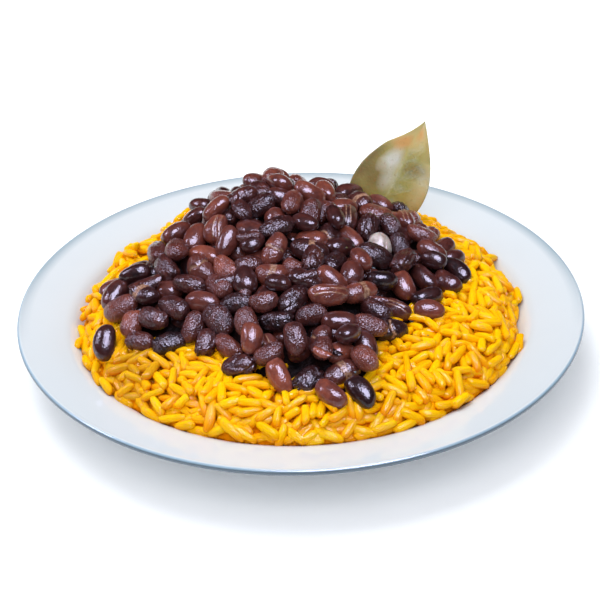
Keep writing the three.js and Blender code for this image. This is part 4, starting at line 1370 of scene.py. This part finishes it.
drive(tree, "Roughness", varied(tree, own, 0.6, 0.26, 0.44))
folds = add_node(
    tree, "ShaderNodeTexNoise", {"noise_type": "RIDGED_MULTIFRACTAL", "normalize": True},
    Vector=own, Scale=0.22, Detail=2.0, Roughness=0.5, Distortion=0.4,
).outputs["Fac"]
peel = calculate(tree, "MULTIPLY", pattern(tree, own, 1.5, 1, 0.5), attribute(tree, "pebble"))
peel = calculate(tree, "ADD", peel, calculate(tree, "MULTIPLY", folds, FOLD_SHARE))
relief(tree, peel, 0.0006, 0.7, coated=True)

bare_finish, tree = new_finish(
    "bean_flesh", Roughness=0.4, Subsurface_Weight=0.2, Subsurface_Scale=MM, Coat_Weight=0.4,
)
own = attribute(tree, "own_place", "Vector")
drive(tree, "Base Color", ramp(tree, pattern(tree, own, 0.4, 3), *BARE_TONES))
relief(tree, pattern(tree, own, 1.2), 0.0003)

# %% [markdown]
# The heap is dressed bean by bean, in the order in which the beans were laid. At the far left its
# upper layer is left out, so that the bank of rice shows there. The beans under it then come to
# light and are dressed too, and a few more fill the hollow that is left behind them.

# %% One bean
KIND_SHARES = {
    "smooth": 0.44, "wrinkled": 0.22, "pebbled": 0.18, "creased": 0.08,
    "ridged": 0.04, "banded": 0.02, "cracked": 0.02,
}
PEBBLE = {
    "pebbled": 1.5, "wrinkled": 1.0, "creased": 0.8, "cracked": 0.7, "banded": 0.6, "ridged": 0.4,
    "eyed": 0.9, "bare": 0.3, "smooth": 0.3,
}
BEAN_SEED = 903
PATTERN_SPAN = 90  # every bean has its own spot in the patterns, drawn from so wide a space
BEAN_BOWS = (0.06, 0.16)
BEAN_TAPER = 0.09
FINE_KINDS = ("pebbled", "wrinkled", "creased", "cracked", "banded", "ridged", "eyed", "bare")
smooth_ball = ball_pattern(28, 20)
fine_ball = ball_pattern(48, 34)
bean_draws = Draws(BEAN_SEED)
kind_limits = np.cumsum(list(KIND_SHARES.values()))


def drawn_kind():
    place = int(np.searchsorted(kind_limits, bean_draws.share()))
    return list(KIND_SHARES)[min(place, len(KIND_SHARES) - 1)]


def drawn_offset():
    return np.array([bean_draws.share() * PATTERN_SPAN for _ in range(3)])


def ball_of(kind):
    return fine_ball if kind in FINE_KINDS else smooth_ball


def dress_bean(bean, kind, tone, copies):
    """Notes a bean's points and attributes with its kind, its marked side in front."""
    if bean.axes[1][1] > 0:
        bean.axes[:2] *= -1
    points, offset = ball_of(kind)[0], drawn_offset()
    bow = bean_draws.above(*BEAN_BOWS) * (1 if bean_draws.share() < 0.5 else -1)
    shape, inside = bean_surface(kind, points, offset, bow, bean_draws.either(BEAN_TAPER))
    cloud, own_place = placed(bean, shape), points * bean.half + offset
    note(copies, cloud=cloud, tone=tone, inside=inside, pebble=PEBBLE[kind], own_place=own_place)


# %% Rice at the far left
FAR_LEFT = [(140, 195, 9), (195, 212, 16)]  # directions from the heap's summit, and how far in


def rice_shows(bean):
    """Whether a bean of the upper layer is left out at the far left, so that rice shows instead."""
    angle = math.atan2(bean.y - HEAP_SUMMIT[1], bean.x - HEAP_SUMMIT[0]) / DEGREE % 360
    inset = heap_inset(bean.x, bean.y)
    upper = bean.z - rice_top(bean.x, bean.y) > BEAN_THICKNESS
    return upper and any(start < angle < end and inset < reach for start, end, reach in FAR_LEFT)


# %% Beans
HIDDEN_SHARE = 0.02
BEAN_TONES = (0.12, 0.46)
LOW_TONES = (0.14, 0.3)
FILLER_TONE = 0.25
STRAY_TONE = 0.2
FILLERS = [(-65, 8, 31, 70), (-57, 4, 34, 130), (-37, 43, 36, 20), (-41, 35, 35, 100)]  # x, y, z, turn
shown_heap = Bed(GRID_REACH, 1, rice_top)
block_leaf(shown_heap, SKY_HEIGHT)
shown = []
beans = defaultdict(lambda: defaultdict(list))
for number, bean in enumerate(heap.laid[:heap_beans]):
    kind, tone = drawn_kind(), bean_draws.above(*BEAN_TONES)
    if hand_laid[0] <= number < hand_laid[1]:
        kind, tone = LAID_BEANS[number - first_laid][6:]
    left_out = rice_shows(bean)
    if heap.open_share(number) > HIDDEN_SHARE:
        # One that is left out is dressed too, into nothing, so that the later draws stay the same.
        dress_bean(bean, kind, tone, defaultdict(list) if left_out else beans[kind])
    if not left_out:
        shown_heap.lay(bean)
        shown.append(number)
for place, number in enumerate(shown):
    if heap.open_share(number) <= HIDDEN_SHARE < shown_heap.open_share(place):
        dress_bean(heap.laid[number], "smooth", bean_draws.above(*LOW_TONES), beans["smooth"])
for x, y, height, turn in FILLERS:
    bean = new_bean(x, y, turn * DEGREE, 0, 0, BEAN_LENGTH, BEAN_WIDTH)
    bean.z = height
    dress_bean(bean, "smooth", FILLER_TONE, beans["smooth"])
for kind, copies in beans.items():
    finish = bare_finish if kind == "bare" else bean_finish
    stands_for = ["beans"] if kind == "smooth" else []
    add_copies("beans_" + kind, ball_of(kind), copies, finish, "beans", *stands_for)
stray = defaultdict(list)
dress_bean(heap.laid[heap_beans], "smooth", STRAY_TONE, stray)
add_copies("bean_rolled_off", smooth_ball, stray, bean_finish, "beans", "bean_stray")
print("beans left out:", heap_beans - len(shown))

# %% [markdown]
# ## Juice between the beans
#
# The gaps of the heap are black and wet with thick cooking juice, and deep in shade. A spun mound
# under the beans stands for what fills them; its near black is partly juice and partly painted shade.
# It follows the mean height of the beans that have settled around a spot, a little below it, so that
# no gap lets the eye through.

# %% Juice
JUICE_RINGS = 34
JUICE_STEPS = 120
JUICE_INSET = 7
JUICE_DEPTH = 5
JUICE_SKIRT, JUICE_HEM = 0.8, 0.2  # over the rice, within the mound and at its edge
JUICE_RIPPLE = 0.5
JUICE_RIPPLE_SIZE = 4
JUICE_FLOOR = RICE_SHOULDER - 3
JUICE_MEAN_REACH = 7
steps = range(-JUICE_MEAN_REACH, JUICE_MEAN_REACH + 1)
mean_cells = [(dy, dx) for dy in steps for dx in steps if math.hypot(dx, dy) <= JUICE_MEAN_REACH]
places = range(-GRID_REACH, GRID_REACH + 1)
capped = np.minimum(shown_heap.ground, [[heap_top(x, y) for x in places] for y in places])


def mean_ground(x, y):
    """Mean height of what has settled around a spot."""
    row, column = heap.at(x, y)
    last = len(capped) - 1
    nearby = [(min(max(row + dy, 0), last), min(max(column + dx, 0), last)) for dy, dx in mean_cells]
    return float(np.mean([capped[cell] for cell in nearby]))


def juice_top(x, y, share):
    inner = share < 1
    skirt = rice_top(x, y) + (JUICE_SKIRT if inner else JUICE_HEM)
    ripple = JUICE_RIPPLE * noise.noise(Vector((x, y, 0)) / JUICE_RIPPLE_SIZE)
    return max(mean_ground(x, y) - JUICE_DEPTH, skirt) + ripple * inner


juice_bm = mound(
    JUICE_RINGS, JUICE_STEPS, HEAP_SUMMIT, lambda angle: around_value(HEAP_REACH, angle) - JUICE_INSET,
    juice_top, lambda x, y: JUICE_FLOOR,
)
# near black: partly the juice's own colour, partly painted shade for the deep gaps
juice_and_shade_finish, tree = new_finish("bean_juice_and_shade", Roughness=0.5, Specular_IOR_Level=0.03)
where = object_coordinates(tree)
murk = pattern(tree, where, 300)
drive(tree, "Base Color", ramp(tree, murk, (0.35, linear(8, 5, 6)), (0.7, linear(30, 15, 14))))
relief(tree, pattern(tree, where, 520, 3), 0.0009)
add_piece("bean_juice_and_shade", juice_bm, juice_and_shade_finish, "beans")

# %% [markdown]
# ## Scraps, flecks and drops
#
# Cooking loosens some skins, and their torn scraps lie curled on the heap. A scrap is a ball
# flattened to a flake, with a ragged outline, and rolled up a little. Herb flecks are smaller
# flakes, and drops of juice stand in the gaps, where each one catches a point of light; their pale
# blue-grey colour is a painted glint.

# %% Scraps
# x, y, direction, lift of its far end, roll to the front, length, width, curl, tone, height above
SCRAPS = [
    (14, -51, 0, 0, 38, 12.5, 11, 1.3, 0.28, 2.6), (7.5, -66, 150, 10, 20, 7.5, 6, 1.6, 0.62, 1.0),
    (-60, -20, 20, 0, 15, 13, 9, 1.4, 0.28, 0.8), (12, -61, 130, 0, 40, 9, 6, 2.2, 0.06, 0.2),
    (-27, -26, 10, 0, 30, 11, 8, 1.7, 0.30, 1.5), (-21, -31, 60, 20, 20, 10, 9, 1.8, 0.36, 1.5),
    (-3, -64, 30, 0, 20, 9, 6, 2.0, 0.14, 0.6), (-36, -20, 80, 0, 20, 8, 6, 2.0, 0.30, 0.8),
    (30, -30, 0, 0, 25, 8, 6, 1.8, 0.42, 0.8), (3, -30, 20, 0, 30, 9, 7, 1.6, 0.24, 1.0),
    (-52, -26, 140, 0, 20, 8, 6, 2.0, 0.40, 0.8), (42, -22, 50, 0, 20, 7, 6, 2.0, 0.28, 0.8),
    (-20, -6, 0, 0, 30, 9, 7, 1.6, 0.34, 1.0), (20, -10, 120, 0, 25, 8, 6, 1.8, 0.46, 0.8),
]
SCRAP_THICKNESS = 0.5
SCRAP_PEBBLE = 0.8
RAGGED = 0.22
flake_ball = ball_pattern(20, 14)


def flake(length, width, thickness, curl, offset):
    """A thin flake with a ragged outline, rolled up about its length."""
    points = flake_ball[0]
    ragged = 1 + RAGGED * noise_over(points * (1, 1, 0), 1.6, offset)
    x, y = points[:, 0] * ragged * length / 2, points[:, 1] * ragged
    z = points[:, 2] * thickness / 2
    roll = y * curl
    radius = width / 2 / curl
    return np.stack([x, np.sin(roll) * (radius + z), np.cos(roll) * (radius + z) - radius], axis=1)


def laid_flake(x, y, turn, rise, roll, shape, lift):
    """A flake at its place on the settled food, hollow side down."""
    on_heap = heap_inset(x, y) > 0
    lean = new_bean(x, y, turn * DEGREE, rise * DEGREE, roll * DEGREE, 1, 1, 1).axes
    ground = shown_heap.ground[heap.at(x, y)] if on_heap else rice_bed.ground[rice_bed.at(x, y)]
    return shape @ lean + (x, y, ground + lift)


scraps = defaultdict(list)
for x, y, turn, rise, roll, length, width, curl, tone, lift in SCRAPS:
    offset = drawn_offset()
    shape = flake(length, width, SCRAP_THICKNESS, curl, offset)
    cloud = laid_flake(x, y, turn, rise, roll, shape, lift)
    note(scraps, cloud=cloud, tone=tone, inside=0.0, pebble=SCRAP_PEBBLE, own_place=shape + offset)
add_copies("bean_scraps", flake_ball, scraps, bean_finish, "beans", "beans")

# %% Herbs
HERBS = [(-41, -35, 2.2), (19, -5, 2.0), (-66, -44, 1.6), (48, -40, 1.5), (-12, -84, 1.3), (70, -18, 1.4)]
HERB_NARROWNESS = 0.8
HERB_THICKNESS = 0.4
HERB_CURL = 0.6
HERB_ROLL = 20
HERB_LIFT = 0.2
herb_finish, tree = new_finish("herb_green", Roughness=0.5, Coat_Weight=0.3)
mottling = pattern(tree, object_coordinates(tree), 900, 2)
drive(tree, "Base Color", ramp(tree, mottling, (0.3, linear(70, 74, 30)), (0.7, linear(140, 132, 62))))
herbs = defaultdict(list)
for x, y, size in HERBS:
    shape = flake(size, size * HERB_NARROWNESS, HERB_THICKNESS, HERB_CURL, drawn_offset())
    note(herbs, cloud=laid_flake(x, y, 360 * bean_draws.share(), 0, HERB_ROLL, shape, HERB_LIFT))
add_copies("herb_flecks", flake_ball, herbs, herb_finish, "bay_leaf", "beans")

# %% Drops
DROPS = 120
DROP_INSET = 3
DROP_SINK = 3
DROP_HOLLOW = 1.2
DROP_LEAST, DROP_SPREAD = 0.3, 0.4
DROP_FORM = np.array((1.6, 1, 0.8))
DROP_LIFT = 0.1
drop_ball = ball_pattern(8, 6)
# painted glint: the drops' pale blue-grey colour stands in for the light they catch
glint_drop_finish, tree = new_finish(
    "juice_drop_glint", Base_Color=(*linear(120, 138, 150), 1), Roughness=0.1, Coat_Weight=1.0, Coat_Roughness=0.02,
)
drops = defaultdict(list)
while len(drops["cloud"]) < DROPS:
    x, y = HEAP_WEST + HEAP_SPAN * bean_draws.share(), HEAP_SOUTH + HEAP_SPAN * bean_draws.share()
    if heap_inset(x, y) < DROP_INSET:
        continue
    height = shown_heap.ground[heap.at(x, y)]
    if height < heap_top(x, y) - DROP_SINK and height < mean_ground(x, y) - DROP_HOLLOW:
        size = DROP_LEAST + DROP_SPREAD * bean_draws.share() ** 2
        note(drops, cloud=drop_ball[0] * (size * DROP_FORM) + (x, y, height + DROP_LIFT))
add_copies("juice_drops", drop_ball, drops, glint_drop_finish, "beans", "beans")

# %% [markdown]
# ## The bay leaf
#
# A dried bay leaf is a stiff, thin, slightly folded sheet with a midrib and side veins. A grid
# operator makes the flat sheet, its points go to the leaf's surface, and `solidify` gives the
# thickness. The midrib and the veins are raised on the grid itself, so they show from the side.

# %% Leaf
LEAF_THICKNESS = 0.8
LEAF_ACROSS = 36
LEAF_UP = 72
LEFT_DRAWN = [(0.2, 0.4), (0.74, 1.6)]  # from which height on an edge draws in, and how fast
RIGHT_DRAWN = (0.3, 0.25)
MIDRIB_HEIGHT = 0.45
MIDRIB_TIP, MIDRIB_FOOT = 2.2, 9  # how narrow the midrib is at the tip, and how much more lower down
MIDRIB_ABOVE_TIP = 1.05
VEINS = 9
VEIN_SWEEP = 0.21
VEIN_CURVE = 1.3
VEIN_SPREAD = 0.1
VEIN_RISE = 5
VEIN_HEIGHT = 0.08
CRINKLE = 0.12
CRINKLES = (5, 14)


def vein_line(side, rise):
    """1 on a side vein, falling to 0 beside it; the veins sweep up towards the edge."""
    phase = (rise - VEIN_SWEEP * abs(side) ** VEIN_CURVE) * VEINS + (0.5 if side > 0 else 0)
    return max(1 - abs((phase % 1) - 0.5) / VEIN_SPREAD, 0) * min(abs(side) * VEIN_RISE, 1) * (1 - abs(side))


def drawn_in(side, rise):
    """How far across a point lies when the edges have drawn in towards the tip."""
    if side < 0:
        return side * (1 - sum(rate * max(rise - start, 0) for start, rate in LEFT_DRAWN))
    start, share = RIGHT_DRAWN
    return side * (1 - share * max((rise - start) / (1 - start), 0) ** 2)


leaf_bm = bmesh.new()
bmesh.ops.create_grid(leaf_bm, x_segments=LEAF_ACROSS, y_segments=LEAF_UP, size=1)
sheet_uv = leaf_bm.loops.layers.uv.new("sheet")
for face in leaf_bm.faces:
    for loop in face.loops:
        loop[sheet_uv].uv = (loop.vert.co.x / 2 + 0.5, loop.vert.co.y / 2 + 0.5)
for vert in leaf_bm.verts:
    rise = vert.co.y / 2 + 0.5
    side = drawn_in(vert.co.x, rise)
    narrowness = MIDRIB_TIP + MIDRIB_FOOT * (1 - rise)
    rib = MIDRIB_HEIGHT * max(1 - abs(side) * narrowness, 0) * (MIDRIB_ABOVE_TIP - rise)
    crinkle = CRINKLE * noise.noise(Vector((side * CRINKLES[0], rise * CRINKLES[1], 3)))
    vert.co = leaf_point(side, rise, -rib - VEIN_HEIGHT * vein_line(side, rise) + crinkle)
bmesh.ops.solidify(leaf_bm, geom=leaf_bm.faces[:], thickness=LEAF_THICKNESS / 2)
bmesh.ops.recalc_face_normals(leaf_bm, faces=leaf_bm.faces)

# %% [markdown]
# The dry leaf is a dull olive that pales to straw and sand, with darker and orange patches. The
# patches are soft blots at chosen places of the sheet, which its UV map finds.

# %% Leaf finish
LEAF_OLIVE = linear(164, 163, 88)
LEAF_PALE = linear(226, 230, 224)
LEAF_STRAW = linear(192, 188, 118)
LEAF_SAND = linear(214, 208, 172)
LEAF_TAN = linear(208, 188, 128)
LEAF_ORANGE = linear(218, 162, 92)
LEAF_UMBER = linear(96, 90, 50)
# Blots on the leaf: colour, place as (across, up), reach across and up, strength.
LEAF_BLOTS = [
    (LEAF_UMBER, (-0.5, 0.43), (0.36, 0.12), 0.5), (LEAF_UMBER, (-1.0, 0.55), (0.35, 0.2), 0.6),
    (LEAF_UMBER, (-1.0, 0.26), (0.4, 0.2), 0.6), (LEAF_STRAW, (0.5, 0.33), (0.6, 0.24), 0.5),
    (LEAF_SAND, (0.85, 0.5), (0.45, 0.26), 0.7), (LEAF_UMBER, (0.5, 0.6), (0.5, 0.09), 0.65),
    (LEAF_STRAW, (0.0, 0.5), (0.14, 0.5), 0.7), (LEAF_PALE, (-0.3, 0.63), (0.36, 0.14), 0.9),
    (LEAF_PALE, (-0.14, 0.46), (0.26, 0.12), 0.55), (LEAF_TAN, (0.1, 0.86), (1.8, 0.2), 0.8),
    (LEAF_ORANGE, (-0.41, 0.79), (0.5, 0.08), 0.8), (LEAF_ORANGE, (0.4, 0.89), (0.5, 0.07), 0.8),
]
LEAF_SPECK = linear(140, 110, 70)
OLIVE_DIM = 0.85
CLOUD = 0.25  # how far noise moves the edge of a blot, in and out
leaf_finish, tree = new_finish("leaf_dry", Roughness=0.5, Subsurface_Weight=0.1, Subsurface_Scale=MM)
sheet = add_node(tree, "ShaderNodeUVMap", {"uv_map": "sheet"}).outputs["UV"]
where = object_coordinates(tree)
cloud = varied(tree, where, 75, -CLOUD, CLOUD, 3, 0.5)


def blot(place, reach, strength):
    """A soft patch about a place on the leaf, with a cloudy edge."""
    from_middle = vectors(tree, "SUBTRACT", sheet, (place[0] / 2 + 0.5, place[1], 0))
    distance = vectors(tree, "LENGTH", vectors(tree, "DIVIDE", from_middle, (reach[0] / 2, reach[1], 1)))
    return between(tree, calculate(tree, "ADD", distance, cloud), 1.1, 0.3, 0, strength)


tint = blend(tree, between(tree, cloud, -CLOUD, CLOUD), LEAF_OLIVE, dimmed(LEAF_OLIVE, OLIVE_DIM))
for colour, place, reach, strength in LEAF_BLOTS:
    tint = blend(tree, blot(place, reach, strength), tint, colour)
drive(tree, "Base Color", blend(tree, specks(tree, where, 700, 0.3), tint, LEAF_SPECK))
relief(tree, pattern(tree, where, 900, 4), 0.0002)
add_piece("bay_leaf_sheet", leaf_bm, leaf_finish, "bay_leaf", "bay_leaf")

# %% [markdown]
# ## Floor and finish
#
# The plate stands on a plain pale floor, which isn't part of it.

# %% Floor
FLOOR_SIZE = 6
FLOOR_PALE = (0.96, 0.965, 0.97, 1)
floor_bm = bmesh.new()
bmesh.ops.create_grid(floor_bm, x_segments=1, y_segments=1, size=FLOOR_SIZE / 2 / MM)
floor_finish, _ = new_finish("floor_pale", Base_Color=FLOOR_PALE, Roughness=0.7)
floor = bpy.data.objects.new("floor", to_mesh(floor_bm, "floor"))
floor.data.materials.append(floor_finish)
bpy.context.scene.collection.objects.link(floor)

# %% The end
bpy.context.view_layer.update()
